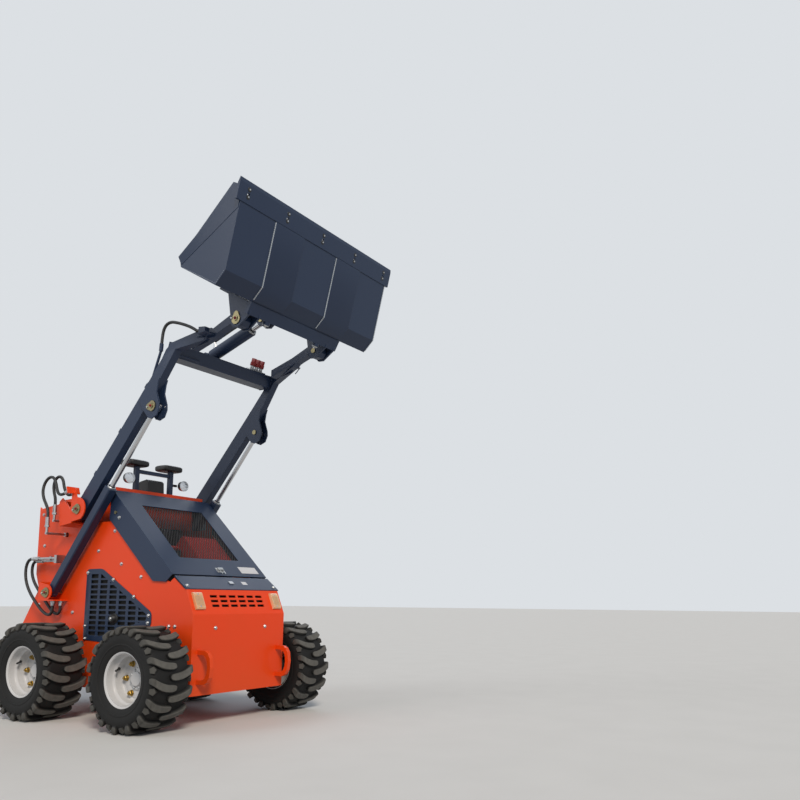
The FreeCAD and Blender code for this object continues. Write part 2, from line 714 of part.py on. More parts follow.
# Tow rings and lamps on the front
ring_inner_y = 302
ring_wall = 25
ring_centre = (sizes.front_x, 344)
RING_OUTSIDE = [(0, 98), (62, 96), (86, 84), (104, 56), (112, 0), (104, -56), (86, -84), (62, -96), (0, -98)]
RING_INSIDE = [(0, -72), (52, -70), (70, -58), (82, -34), (86, 0), (82, 34), (70, 58), (52, 70), (0, 72)]
rings = []
lamps = []
for side, sign in SIDES:
    y_low, y_high = span(sign, ring_inner_y, ring_inner_y + ring_wall)
    rings.append(plate(f"tow_ring_{side}", [near(ring_centre, *point)
                                            for point in RING_OUTSIDE + RING_INSIDE], y_low, y_high))
    y_low, y_high = span(sign, 277, 343)
    lamps.append(plate(f"front_lamp_{side}", [
        front_face.at(30), front_face.at(30, -10), front_face.at(38, -16), front_face.at(128, -16),
        front_face.at(136, -10), front_face.at(136),
    ], y_low, y_high))
finish("tow_rings", gather("tow_rings", rings))
finish("front_lamps", gather("front_lamps", lamps))

# Controls: consoles on the cowl, posts with work lamps, and padded grips
finish("console", gather("consoles", [
    plate("rear_console", [
        rear_roof.height_at(-560), (-568, 1432), (-600, 1446), (-770, 1416), (-800, 1388),
        rear_roof.height_at(-800),
    ], -170, 170),
    plate("front_console", [
        front_roof.height_at(-205), (-212, 1520), (-230, 1532), (-300, 1520), (-322, 1480),
        front_roof.height_at(-322),
    ], -62, 62),
]))
post_front = -226
post_rear = -254
post_inner = 121
post_outer = 149
post_top = 1608
posts = [plate("post_bar", [
    (post_front - 4, 1566), (post_front - 4, 1590), (post_rear + 4, 1590), (post_rear + 4, 1566),
], -post_outer, post_outer)]
grips = []
work_lamps = []
for side, sign in SIDES:
    y_low, y_high = span(sign, post_inner, post_outer)
    posts.append(plate(f"post_{side}", [
        front_roof.height_at(post_front), (post_front, post_top), (post_rear, post_top),
        front_roof.height_at(post_rear),
    ], y_low, y_high))
    y_low, y_high = span(sign, 60, 212)
    grips.append(plate(f"grip_{side}", [
        (-206, post_top), (-194, post_top + 14), (-192, post_top + 28), (-206, post_top + 42),
        (-300, post_top + 47), (-324, post_top + 38), (-330, post_top + 20), (-318, post_top),
    ], y_low, y_high))
    y_low, y_high = span(sign, post_outer, 186)
    arm_block = block(f"lamp_arm_{side}", (-248, -232), (y_low, y_high), (1511, 1527))
    lamp = doc.addObject("Part::Prism", f"work_lamp_{side}")
    lamp.Polygon = 20
    lamp.Circumradius = 36
    lamp.Height = 46
    place(lamp, -236, sign * 216, 1519, FORWARD)
    work_lamps.append(fuse(f"work_lamp_body_{side}", [arm_block, lamp]))
finish("control_posts", fuse("control_posts", posts))
finish("grip_pads", gather("grip_pads", grips))
finish("work_lamps", gather("work_lamps", work_lamps))

# Boom: two arms bent at the knee, a cross tube and the tips that carry the hitch
arm_outer = sizes.boom_centre + sizes.arm_width / 2
arm_inner = sizes.boom_centre - sizes.arm_width / 2
cheek_outer = arm_outer + sizes.cheek_wall
cheek_inner = arm_inner - sizes.cheek_wall
lug_inner = cheek_outer + sizes.lug_gap
lug_outer = lug_inner + sizes.lug_wall
keeper_outer = lug_outer + sizes.keeper_wall

pivot = (sizes.pivot_x, sizes.pivot_height)
arm = Line(pivot, near(pivot, 1000 * cosine(sizes.arm_angle), 1000 * sine(sizes.arm_angle)))
half_arm = sizes.arm_depth / 2
knee = arm.at(sizes.knee_along)
rod_pin = (sizes.rod_pin_x, sizes.rod_pin_height)
hitch_pin = (sizes.hitch_x, sizes.hitch_height)
tilt_base = (sizes.tilt_base_x, sizes.tilt_base_height)
tilt_pin = (sizes.tilt_pin_x, sizes.tilt_pin_height)
half_eye = sizes.eye_width / 2
fork_inner = half_eye + sizes.fork_gap
fork_outer = fork_inner + sizes.ear_wall

ARM_KNEE_REAR = [(37, 117), (69, 168), (116, 205)]
ARM_END = [(-205, -53), (-126, -56), (-59, -92), (-97, -117), (-140, -117)]
ARM_KNEE_FRONT = [(152, 158), (32, -3)]
CHEEK_NOSE = [(-122, 48), (-86, -8), (-29, -69), (-1, -79), (43, -62), (62, -19), (59, 14), (33, 84)]
CHEEK_TOP = [(21, -33), (32, -3), (-69, -19)]
TIP_TOP = [(-385, -75), (-199, -16), (-140, 9), (-62, 42), (-20, 46), (18, 42), (42, 18), (46, -14), (26, -42)]
TIP_BOTTOM = [(-20, -44), (-62, -14), (-140, -42), (-199, -66), (-385, -124)]
TIP_ROOT = [(-385, -118), (-250, -98), (-205, -58), (-385, -82)]
CROSS_SECTION = [(97, 130), (123, 206), (36, 236), (5, 130)]

arms = []
for side, sign in SIDES:
    y_low, y_high = span(sign, arm_inner, arm_outer)
    arms.append(plate(f"arm_tube_{side}", [arm.at(-sizes.arm_tail, half_arm), arm.at(950, half_arm - 3)]
                      + [near(knee, *point) for point in ARM_KNEE_REAR]
                      + [near(hitch_pin, *point) for point in ARM_END]
                      + [near(knee, *point) for point in ARM_KNEE_FRONT]
                      + [arm.at(1000, -30), arm.at(760, 4 - half_arm), arm.at(-sizes.arm_tail, -half_arm)],
                      y_low, y_high))
    for layer, near_y in (("outer", arm_outer), ("inner", cheek_inner)):
        y_low, y_high = span(sign, near_y, near_y + sizes.cheek_wall)
        arms.append(plate(f"arm_cheek_{layer}_{side}", [near(rod_pin, *point) for point in CHEEK_NOSE]
                          + [near(knee, *point) for point in CHEEK_TOP], y_low, y_high))
    y_low, y_high = span(sign, sizes.tip_inner, sizes.tip_outer)
    arms.append(plate(f"arm_tip_{side}", [near(hitch_pin, *point) for point in TIP_TOP + TIP_BOTTOM],
                      y_low, y_high))
    y_low, y_high = span(sign, sizes.tip_outer, arm_inner)
    arms.append(plate(f"arm_root_{side}", [near(hitch_pin, *point) for point in TIP_ROOT], y_low, y_high))
cross = plate("cross_tube", [near(knee, *point) for point in CROSS_SECTION], -arm_inner, arm_inner)
coupler_rod = pin("coupler_rod", near(knee, 111, 144), -arm_inner, -234, sizes.line_radius)
BASE_LUG = [(60, -112), (88, -103), (106, -36), (40, -23), (34, 4), (22, 27), (0, 34), (-25, 25), (-34, 0),
            (-24, -33)]
BASE_SLOT = [(-60, 62), (-60, -42), (50, -42), (110, -35), (120, 62)]
base_lug = plate("tilt_base_lugs", [near(tilt_base, *point) for point in BASE_LUG], -34, 34)
base_slot = plate("tilt_base_slot", [near(tilt_base, *point) for point in BASE_SLOT], -fork_inner, fork_inner)
base_lugs = cut("tilt_lugs", base_lug, base_slot)

# a steel line along the right arm's rear, held by clamps, with the hose end at its top
line_off = half_arm + sizes.line_radius + 8
line_y = -sizes.boom_centre
lower_line = Line(arm.at(0, line_off), arm.at(1000, line_off))
line_bend = lower_line.at(985)
hose_foot = near(knee, -7, 179)
upper_line = Line(line_bend, hose_foot)
boom_lines = [bar("boom_line_low", lower_line, 170, 990, line_y, sizes.line_radius),
              bar("boom_line_high", upper_line, -4, upper_line.length, line_y, sizes.line_radius),
              bar("boom_line_ferrule", Line(hose_foot, near(hose_foot, 3, 44)), -2, 44, line_y,
                  sizes.ferrule_radius)]
for along in (230, 560, 900):
    boom_lines.append(plate(f"line_clamp_{along}", [
        arm.at(along, half_arm - 5), arm.at(along + 30, half_arm - 5), arm.at(along + 30, line_off + 4),
        arm.at(along, line_off + 4),
    ], line_y - 14, line_y + 14))
hose_block = plate("boom_hose_block", [
    near(hitch_pin, -245, -64), near(hitch_pin, -190, -56), near(hitch_pin, -190, -34),
    near(hitch_pin, -245, -28),
], line_y - 16, line_y + 16)

bore_radius = sizes.pin_radius + sizes.running_gap
boom_bores = []
for side, sign in SIDES:
    y_low, y_high = span(sign, cheek_inner - 1, cheek_outer + 1)
    boom_bores.append(pin(f"pivot_bore_{side}", pivot, y_low, y_high, bore_radius))
    boom_bores.append(pin(f"rod_seat_{side}", rod_pin, y_low, y_high, sizes.pin_radius))
    y_low, y_high = span(sign, sizes.tip_inner - 1, sizes.tip_outer + 1)
    boom_bores.append(pin(f"hitch_bore_{side}", hitch_pin, y_low, y_high, bore_radius))
boom_bores.append(pin("tilt_base_seat", tilt_base, -35, 35, sizes.pin_radius))
boom_whole = fuse("boom_whole", arms + [cross, coupler_rod, base_lugs, hose_block] + boom_lines)
finish("boom", cut("boom", boom_whole, gather("boom_bores", boom_bores)))

# Pins and their keepers: a drop-shaped plate with its nose to the rear
KEEPER = [(-46, -2), (-38, -16), (4, -34), (22, -28), (34, -10), (34, 12), (20, 29), (2, 33), (-38, 12)]


def keeper(name, centre, y_low, y_high):
    return plate(name, [near(centre, *point) for point in KEEPER], y_low, y_high)


# The middle of each rod pin belongs to the rod's eye, and its ends to the plates beside it.
boom_pins = [pin("tilt_base_pin", tilt_base, -40, 40, sizes.pin_radius)]
for side, sign in SIDES:
    y_low, y_high = span(sign, cheek_inner - 6, arm_inner)
    boom_pins.append(pin(f"rod_pin_inner_{side}", rod_pin, y_low, y_high, sizes.pin_radius))
    y_low, y_high = span(sign, arm_outer, cheek_outer + 10)
    outer_end = pin(f"rod_pin_outer_{side}", rod_pin, y_low, y_high, sizes.pin_radius)
    y_low, y_high = span(sign, cheek_outer, cheek_outer + sizes.keeper_wall)
    boom_pins.append(fuse(f"rod_pin_kept_{side}", [outer_end, keeper(f"rod_keeper_{side}", rod_pin, y_low, y_high)]))
finish("boom_pins", gather("boom_pins", boom_pins))

# Lift cylinders: a chamfered square barrel and a bright rod
lift_base = (sizes.lift_base_x, sizes.lift_base_height)
lift = Line(lift_base, rod_pin)
guard = sizes.lift_guard_half
guard_flat = sizes.lift_guard_half - 6
GUARD_SECTION = [(guard, guard_flat), (guard_flat, guard), (-guard_flat, guard), (-guard, guard_flat),
                 (-guard, -guard_flat), (-guard_flat, -guard), (guard_flat, -guard), (guard, -guard_flat)]
for side, sign in SIDES:
    y = sign * sizes.boom_centre
    y_low, y_high = span(sign, sizes.boom_centre - half_eye, sizes.boom_centre + half_eye)
    barrel = beam(f"lift_tube_{side}", lift, sizes.eye_radius - 8, sizes.lift_barrel_length, y, GUARD_SECTION)
    bore = bar(f"lift_bore_{side}", lift, 60, sizes.lift_barrel_length + 1, y,
               sizes.lift_rod_radius + sizes.running_gap)
    eye = pin(f"lift_base_eye_{side}", lift_base, y_low, y_high, sizes.eye_radius)
    eye_bore = pin(f"lift_base_bore_{side}", lift_base, y_low - 14, y_high + 14, bore_radius)
    finish(f"lift_barrel_{side}", cut(f"lift_barrel_{side}", fuse(f"lift_body_{side}", [barrel, eye]),
                                      gather(f"lift_bores_{side}", [bore, eye_bore])))
    rod = bar(f"lift_shaft_{side}", lift, lift.length - 690, lift.length, y, sizes.lift_rod_radius)
    rod_eye = pin(f"lift_rod_eye_{side}", rod_pin, y_low, y_high, sizes.eye_radius)
    finish(f"lift_rod_{side}", fuse(f"lift_rod_{side}", [rod, rod_eye]))

# Tower lugs that hold the boom pivots and the lift cylinders outside the side panels
web_top = sizes.lift_base_height - 46
web_wall = sizes.lug_wall
bracket = (sizes.pivot_x - 45, sizes.pivot_height + 120)
bracket_line = Line(near(bracket, -94, -34.2), bracket)
tower_lugs = []
tower_pins = []
for side, sign in SIDES:
    y_low, y_high = span(sign, lug_inner, lug_outer)
    lug_parts = [
        plate(f"boom_lug_{side}", [near(pivot, -170, -95), near(pivot, -50, -79)] + around(pivot, 75, -58, 98, 9)
              + [near(pivot, -76, 8), near(pivot, -155, 78), near(pivot, -184, 55)], y_low, y_high),
        plate(f"lift_lug_{side}", [near(lift_base, -80, -54)] + around(lift_base, 52, -68, 96, 8)
              + [near(lift_base, -80, 66)], y_low, y_high),
    ]
    y_low, y_high = span(sign, sizes.body_half, lug_outer)
    lug_parts += [
        plate(f"boom_web_rear_{side}", [
            near(pivot, -170, -95), near(pivot, -162, -95), near(pivot, -174, 62), near(pivot, -184, 55),
        ], y_low, y_high),
        plate(f"boom_web_low_{side}", [
            near(pivot, -170, -103), near(pivot, -50, -87), near(pivot, -50, -79), near(pivot, -170, -95),
        ], y_low, y_high),
        plate(f"lift_web_low_{side}", [
            (sizes.lift_base_x - 80, web_top - web_wall), (sizes.lift_base_x + 84, web_top - web_wall),
            (sizes.lift_base_x + 84, web_top), (sizes.lift_base_x - 80, web_top),
        ], y_low, y_high),
        plate(f"lift_web_rear_{side}", [
            near(lift_base, -80, -54), near(lift_base, -72, -54), near(lift_base, -72, 66),
            near(lift_base, -80, 66),
        ], y_low, y_high),
    ]
    if side == "right":
        y_low, y_high = span(sign, lug_inner, lug_outer)
        lug_parts.append(plate("hose_riser", [
            near(pivot, -62, 20), near(pivot, -8, 66), near(pivot, -30, 128), near(pivot, -52, 136),
            near(pivot, -60, 108),
        ], y_low, y_high))
        y_low, y_high = span(sign, sizes.boom_centre + 8, lug_outer + 44)
        lug_parts.append(plate("hose_bracket", [
            bracket_line.at(96, -22), bracket_line.at(104, -22), bracket_line.at(104, 22),
            bracket_line.at(96, 22),
        ], y_low, y_high))
    y_low, y_high = span(sign, lug_inner - 1, lug_outer + 1)
    seats = [
        pin(f"boom_seat_{side}", pivot, y_low, y_high, sizes.pin_radius),
        pin(f"lift_seat_{side}", lift_base, y_low, y_high, sizes.pin_radius),
    ]
    lugs = fuse(f"tower_lugs_whole_{side}", lug_parts)
    tower_lugs.append(cut(f"tower_lugs_{side}", lugs, gather(f"lug_seats_{side}", seats)))
    for pin_name, centre in (("boom", pivot), ("lift", lift_base)):
        y_low, y_high = span(sign, sizes.body_half, keeper_outer + 4)
        shaft = pin(f"{pin_name}_pin_{side}", centre, y_low, y_high, sizes.pin_radius)
        y_low, y_high = span(sign, lug_outer, keeper_outer)
        tower_pins.append(fuse(f"{pin_name}_pin_kept_{side}", [
            shaft, keeper(f"{pin_name}_keeper_{side}", centre, y_low, y_high),
        ]))
    y_low, y_high = span(sign, sizes.body_half, sizes.hood_half + 6)
    tower_pins.append(pin(f"hood_hinge_pin_{side}", hood_pivot, y_low, y_high, sizes.hinge_radius))
finish("tower_lugs", gather("tower_lugs", tower_lugs))
finish("tower_pins", gather("tower_pins", tower_pins))

# Tilt cylinder
tilt = Line(tilt_base, tilt_pin)
tilt_tube = bar("tilt_tube", tilt, 44, sizes.tilt_barrel_length, 0, sizes.tilt_barrel_radius)
tilt_neck = plate("tilt_neck", [tilt.at(10, -26), tilt.at(48, -26), tilt.at(48, 26), tilt.at(10, 26)],
                  -half_eye, half_eye)
tilt_bore = bar("tilt_bore", tilt, 52, sizes.tilt_barrel_length + 1, 0,
                sizes.tilt_rod_radius + sizes.running_gap)
tilt_eye = pin("tilt_base_eye", tilt_base, -half_eye, half_eye, sizes.eye_radius)
tilt_eye_bore = pin("tilt_base_bore", tilt_base, -half_eye - 1, half_eye + 1, bore_radius)
finish("tilt_barrel", cut("tilt_barrel", fuse("tilt_body", [tilt_tube, tilt_neck, tilt_eye]),
                          gather("tilt_bores", [tilt_bore, tilt_eye_bore])))
tilt_shaft = bar("tilt_shaft", tilt, tilt.length - sizes.tilt_shaft_length, tilt.length, 0,
                 sizes.tilt_rod_radius)
tilt_rod_eye = pin("tilt_rod_eye", tilt_pin, -half_eye, half_eye, sizes.eye_radius)
finish("tilt_rod", fuse("tilt_rod", [tilt_shaft, tilt_rod_eye]))

# Bucket: folded shell open at the top and front, with a bolted cutting edge
fold = (sizes.fold_x, sizes.fold_height)
heel = (sizes.heel_x, sizes.heel_height)
back = (sizes.back_x, sizes.back_height)
lip = (sizes.lip_x, sizes.lip_height)
edge_tip = (sizes.edge_x, sizes.edge_height)
floor = Line(fold, edge_tip)
back_line = Line(heel, back)
lip_line = Line(back, lip)
heel_line = Line(fold, heel)
edge_step = sizes.edge_wall - sizes.edge_proud
edge_start = floor.length - sizes.edge_depth
shell_outer = plate("shell_outer", [
    fold, floor.at(edge_start), floor.at(edge_start, edge_step), floor.at(floor.length - 34, edge_step),
    near(edge_tip, -86, 2), lip, back, heel,
], -sizes.bucket_half, sizes.bucket_half)
inner_corner_low = floor.at(6, sizes.shell_wall)
inner_corner_heel = heel_line.at(heel_line.length - 1, -sizes.shell_wall)
inner_corner_back = back_line.at(back_line.length - 5, -sizes.shell_wall)
inner_side = sizes.bucket_half - sizes.shell_wall
shell_inner = plate("shell_inner", [
    inner_corner_low, floor.at(floor.length + 200, sizes.shell_wall), near(edge_tip, -504, 400),
    near(edge_tip, -904, 0), lip_line.at(lip_line.length + 200, -sizes.shell_wall), inner_corner_back,
    inner_corner_heel,
], -inner_side, inner_side)
finish("bucket_shell", cut("bucket_shell", shell_outer, shell_inner))
edge_blank = plate("edge_blank", [
    floor.at(edge_start, -sizes.edge_proud), floor.at(floor.length - 20, -sizes.edge_proud),
    edge_tip, floor.at(floor.length - 34, edge_step), floor.at(edge_start, edge_step),
], -sizes.edge_half, sizes.edge_half)
EDGE_HOLES = 5
edge_holes = []
for column in range(EDGE_HOLES):
    middle = (column - (EDGE_HOLES - 1) / 2) * sizes.edge_hole_pitch
    hole_low = edge_start + 40
    edge_holes.append(plate(f"edge_hole_{column}", [
        floor.at(hole_low, -sizes.edge_proud - 1), floor.at(hole_low + sizes.edge_hole, -sizes.edge_proud - 1),
        floor.at(hole_low + sizes.edge_hole, edge_step + 1), floor.at(hole_low, edge_step + 1),
    ], middle - sizes.edge_hole / 2, middle + sizes.edge_hole / 2))
finish("cutting_edge", cut("cutting_edge", edge_blank, gather("edge_holes", edge_holes)))

# Quick hitch: plate and foot behind the bucket, ears on the boom tips, fork on the tilt rod
hitch_far = sizes.hitch_stand + sizes.hitch_wall
foot_depth = 74
hitch_parts = [
    plate("hitch_plate", [
        back_line.at(10, sizes.hitch_stand), back_line.at(10, hitch_far), back_line.at(290, hitch_far),
        back_line.at(290, sizes.hitch_stand),
    ], -sizes.hitch_half, sizes.hitch_half),
    plate("hitch_foot", [
        back_line.at(-6), back_line.at(-6, foot_depth), back_line.at(24, foot_depth), back_line.at(24),
    ], -sizes.hitch_half, sizes.hitch_half),
]
hitch_pins = []
EAR_END = [(15, -50), (-25, -48), (-50, -20), (-50, 25)]
lock_line = Line(back_line.at(9, foot_depth), back_line.at(9, foot_depth + 100))
for side, sign in SIDES:
    ear_outer = sizes.tip_outer + sizes.ear_gap + sizes.ear_wall
    for layer, near_y in (("inner", sizes.tip_inner - sizes.ear_gap - sizes.ear_wall),
                          ("outer", sizes.tip_outer + sizes.ear_gap)):
        y_low, y_high = span(sign, near_y, near_y + sizes.ear_wall)
        hitch_parts.append(plate(f"hitch_ear_{layer}_{side}", [back_line.at(0, 10), back_line.at(-10, 70)]
                                 + [near(hitch_pin, *point) for point in EAR_END]
                                 + [back_line.at(230, 10)], y_low, y_high))
    y_low, y_high = span(sign, fork_inner, fork_outer)
    hitch_parts.append(plate(f"hitch_fork_{side}", [
        back_line.at(180, 10), near(tilt_pin, 30, -44), near(tilt_pin, -15, -37), near(tilt_pin, -38, -7),
        back_line.at(290, 10),
    ], y_low, y_high))
    hitch_parts.append(bar(f"lock_boss_{side}", lock_line, -2, 18, sign * 218, 22))
    hitch_pins.append(bar(f"lock_head_{side}", lock_line, 18, 25, sign * 218, 10))
    y_low, y_high = span(sign, fork_inner, fork_outer + 7)
    hitch_pins.append(pin(f"tilt_rod_pin_{side}", tilt_pin, y_low, y_high, sizes.pin_radius))
    y_low, y_high = span(sign, sizes.tip_inner - 24, ear_outer + sizes.keeper_wall + 4)
    shaft = pin(f"hitch_pin_{side}", hitch_pin, y_low, y_high, sizes.pin_radius)
    y_low, y_high = span(sign, ear_outer, ear_outer + sizes.keeper_wall)
    hitch_keeper = plate(f"hitch_keeper_{side}", [near(hitch_pin, -up, across) for across, up in
                                                  [(-point[0], point[1]) for point in KEEPER]], y_low, y_high)
    hitch_pins.append(fuse(f"hitch_pin_kept_{side}", [shaft, hitch_keeper]))
hitch_seats = [pin("tilt_rod_seat", tilt_pin, -fork_outer - 1, fork_outer + 1, sizes.pin_radius)]
for side, sign in SIDES:
    y_low, y_high = span(sign, sizes.tip_inner - 20, sizes.tip_outer + 20)
    hitch_seats.append(pin(f"hitch_seat_{side}", hitch_pin, y_low, y_high, sizes.pin_radius))
finish("quick_hitch", cut("quick_hitch", fuse("hitch_whole", hitch_parts), gather("hitch_seats", hitch_seats)))
finish("hitch_pins", gather("hitch_pins", hitch_pins))

# Hood
hood_sheet = plate("hood_sheet", [
    hood_slope.at(0), hood_slope.at(hood_slope.length), hood_slope.at(hood_slope.length, sizes.hood_wall),
    hood_slope.at(0, sizes.hood_wall),
], -sizes.hood_half, sizes.hood_half)
hood_opening = plate("hood_opening", [
    hood_slope.at(sizes.mesh_low, -5), hood_slope.at(sizes.mesh_high, -5),
    hood_slope.at(sizes.mesh_high, 10), hood_slope.at(sizes.mesh_low, 10),
], -sizes.mesh_half, sizes.mesh_half)
hood_parts = [cut("hood_top", hood_sheet, hood_opening)]
hood_high = (sizes.hood_high_x, sizes.hood_high_height)
hood_low = (sizes.hood_low_x, sizes.hood_low_height)
for side, sign in SIDES:
    y_low, y_high = span(sign, sizes.hood_half - sizes.hood_wall, sizes.hood_half)
    hood_parts.append(plate(f"hood_skirt_{side}", [
        hood_slope.at(0), hood_slope.at(hood_slope.length), near(hood_high, -14, -20),
        near(hood_high, -20, -185), hood_slope.at(100, sizes.skirt_depth), near(hood_low, -56, -45),
        near(hood_low, -21, -16),
    ], y_low, y_high))
hinge_bores = []
for side, sign in SIDES:
    y_low, y_high = span(sign, sizes.body_half + 1, sizes.hood_half + 2)
    hinge_bores.append(pin(f"hinge_bore_{side}", hood_pivot, y_low, y_high,
                           sizes.hinge_radius + sizes.running_gap))
finish("hood", cut("hood", fuse("hood_whole", hood_parts), gather("hinge_bores", hinge_bores)))
mesh_start = sizes.mesh_low - sizes.mesh_lap
mesh_end = sizes.mesh_high + sizes.mesh_lap
mesh_far = sizes.hood_wall + sizes.mesh_wall
finish("hood_mesh", plate("hood_mesh", [
    hood_slope.at(mesh_start, sizes.hood_wall), hood_slope.at(mesh_end, sizes.hood_wall),
    hood_slope.at(mesh_end, mesh_far), hood_slope.at(mesh_start, mesh_far),
], -sizes.mesh_half - sizes.mesh_lap, sizes.mesh_half + sizes.mesh_lap))

# Hydraulic lines: bright steel lines and ferrules on the chassis
port_block_x = sizes.port_x + 4
ferrule_x = -770
hose_start_x = -835
ferrule_top = 104
web_ferrule = 30
web_under = web_top - web_wall
# distance out, height of the side line, and length at which its hose meets the lift lug's web
lower_ends = {
    "outer": (sizes.body_half + 62, sizes.side_line_height, sizes.lift_base_x + 24),
    "inner": (sizes.body_half + 32, sizes.side_line_height - 14, sizes.lift_base_x + 59),
}
fittings = []
for side, sign in SIDES:
    y_low, y_high = span(sign, sizes.body_half, sizes.body_half + 76)
    group = [block(f"port_block_{side}", (port_block_x, port_block_x + 24), (y_low, y_high),
                   (sizes.side_line_height - 32, sizes.side_line_height + 20))]
    for layer, (out, height, drop_x) in lower_ends.items():
        level = Line((hose_start_x, height), (port_block_x, height))
        group.append(bar(f"side_line_{layer}_{side}", level, 40, level.length + 2, sign * out,
                         sizes.line_radius))
        group.append(bar(f"side_ferrule_{layer}_{side}", level, 0, ferrule_x - hose_start_x, sign * out,
                         sizes.ferrule_radius))
        drop = Line((drop_x, web_under), (drop_x, web_under - 100))
        fittings.append(bar(f"web_ferrule_{layer}_{side}", drop, 0, web_ferrule, sign * out,
                            sizes.ferrule_radius))
    fittings.append(fuse(f"side_lines_{side}", group))
for layer, out, height in (("upper", 460, sizes.port_high), ("lower", 503, sizes.port_low)):
    port = (sizes.port_x, height)
    rise = Line(port, near(port, 0, 100))
    fittings.append(fuse(f"port_line_{layer}", [
        pin(f"port_tube_{layer}", port, -out - sizes.line_radius, -inner_half + 10, sizes.line_radius),
        bar(f"port_elbow_{layer}", rise, -sizes.line_radius, 46, -out, sizes.line_radius),
        bar(f"port_ferrule_{layer}", rise, 40, ferrule_top, -out, sizes.ferrule_radius),
    ]))
for layer, out in (("near", 445), ("far", 492)):
    fittings.append(bar(f"bracket_ferrule_{layer}", bracket_line, 56, 96, -out, 11))
finish("hose_fittings", gather("hose_fittings", fittings))

# Hoses: straight runs joined by tangent arcs, each arc as large as its two runs allow
HOSE_SIDES = 6


def hose(name, points, radius):
    """A plain tube along a route of chosen points. Prints its length and tightest arc."""
    points = [FreeCAD.Vector(*[as_size(value).number for value in point]) for point in points]
    edges = []
    start = points[0]
    tightest = None
    for before, corner, after in zip(points, points[1:], points[2:]):
        inward = corner - before
        outward = after - corner
        turn = inward.getAngle(outward)
        cut_back = 0.45 * min(inward.Length, outward.Length)
        bend = cut_back / math.tan(turn / 2)
        tightest = bend if tightest is None else min(tightest, bend)
        arc_start = corner - inward * (cut_back / inward.Length)
        arc_finish = corner + outward * (cut_back / outward.Length)
        to_centre = (arc_start - corner) + (arc_finish - corner)
        middle = corner + to_centre * ((bend / math.cos(turn / 2) - bend) / to_centre.Length)
        edges.append(Part.LineSegment(start, arc_start).toShape())
        edges.append(Part.Arc(arc_start, middle, arc_finish).toShape())
        start = arc_finish
    edges.append(Part.LineSegment(start, points[-1]).toShape())
    path = Part.Wire(edges)
    along = points[1] - points[0]
    side_way = along.cross(FreeCAD.Vector(0, 1, 0))
    if side_way.Length < 0.1 * along.Length:
        side_way = along.cross(FreeCAD.Vector(1, 0, 0))
    side_way.normalize()
    up_way = along.cross(side_way)
    up_way.normalize()
    equal_area = radius * math.sqrt(math.pi / (HOSE_SIDES / 2 * math.sin(2 * math.pi / HOSE_SIDES)))
    ring_points = []
    for index in range(HOSE_SIDES + 1):
        angle = 2 * math.pi * index / HOSE_SIDES
        ring_points.append(points[0] + side_way * (equal_area * math.cos(angle))
                           + up_way * (equal_area * math.sin(angle)))
    section = Part.makePolygon(ring_points)
    form = doc.addObject("Part::Feature", name)
    form.Shape = path.makePipeShell([section], True, False)
    form.Placement = FreeCAD.Placement()
    expected = math.pi * radius ** 2 * path.Length
    print(f"{name:22s} length {path.Length:7.1f} tightest arc {tightest:6.1f} "
          f"volume over section times length {form.Shape.Volume / expected:6.3f}")
    return form


hose_radius = size_of("hose_radius")
END_GAP = 0.3


def route(side_y, points):
    """Points in side view, carried out to the given distance from the machine's middle."""
    return [(x, side_y, z) for x, z in points]


# forward of and above the port's ferrule, with the distance out from the machine's middle
UPPER_FAR = [(0, END_GAP, 503), (0, 42, 503), (-32, 85, 500), (-72, 128, 496), (-96, 180, 490), (-88, 232, 484),
             (-52, 266, 480), (-4, 264, 480), (30, 225, 484), (50, 180, 487)]
UPPER_NEAR = [(0, END_GAP, 460), (0, 39, 460), (-22, 77, 458), (-36, 117, 456), (-34, 157, 453),
              (-9, 184, 451), (27, 184, 450), (52, 157, 449), (62, 115, 448)]
upper_hoses = []
for layer, chosen, port_height, out, before in (("far", UPPER_FAR, sizes.port_low, 492, (-117, -17)),
                                                ("near", UPPER_NEAR, sizes.port_high, 445, (-112, -3))):
    foot = (sizes.port_x, port_height + ferrule_top)
    points = []
    for across, up, y_out in chosen:
        x, z = near(foot, across, up)
        points.append((x, -y_out, z))
    points += route(-out, [near(bracket, *before), bracket_line.at(18), bracket_line.at(56 - END_GAP)])
    upper_hoses.append(hose(f"upper_hose_{layer}", points, hose_radius))
finish("upper_hoses", gather("upper_hoses", upper_hoses))

# forward of and above the side line's end, then of the ferrule under the lift lug
LOWER_OUTER = [(-END_GAP, 0), (-37, 0), (-68, -40), (-72, -100), (-51, -164), (-1, -228), (63, -284)]
OUTER_END = [(-117, -31), (-60, -58), (-18, -59), (0, -32), (0, -END_GAP)]
LOWER_INNER = [(-END_GAP, 0), (-27, 0), (-50, -31), (-49, -83), (-20, -136), (31, -186), (87, -234)]
INNER_END = [(-142, 9), (-92, -31), (-50, -52), (-17, -54), (0, -31), (0, -END_GAP)]
lower_hoses = []
for side, sign in SIDES:
    for layer, chosen, chosen_end in (("outer", LOWER_OUTER, OUTER_END), ("inner", LOWER_INNER, INNER_END)):
        out, height, drop_x = lower_ends[layer]
        points = [near((hose_start_x, height), *point) for point in chosen]
        points += [near((drop_x, web_under - web_ferrule), *point) for point in chosen_end]
        lower_hoses.append(hose(f"lower_hose_{layer}_{side}", route(sign * out, points), hose_radius))
finish("lower_hoses", gather("lower_hoses", lower_hoses))

hose_top = near(hose_foot, 3, 44)
BOOM_HOSE = [(0.02, END_GAP), (3, 44), (11, 87), (34, 117), (76, 126), (126, 113), (182, 94), (236, 72), (282, 48)]
boom_route = [near(hose_top, *point) for point in BOOM_HOSE]
boom_route += [near(hitch_pin, -273, -46), near(hitch_pin, -245 - END_GAP, -46)]
finish("boom_hose", gather("boom_hoses", [hose("boom_hose_tube", route(line_y, boom_route), hose_radius)]))

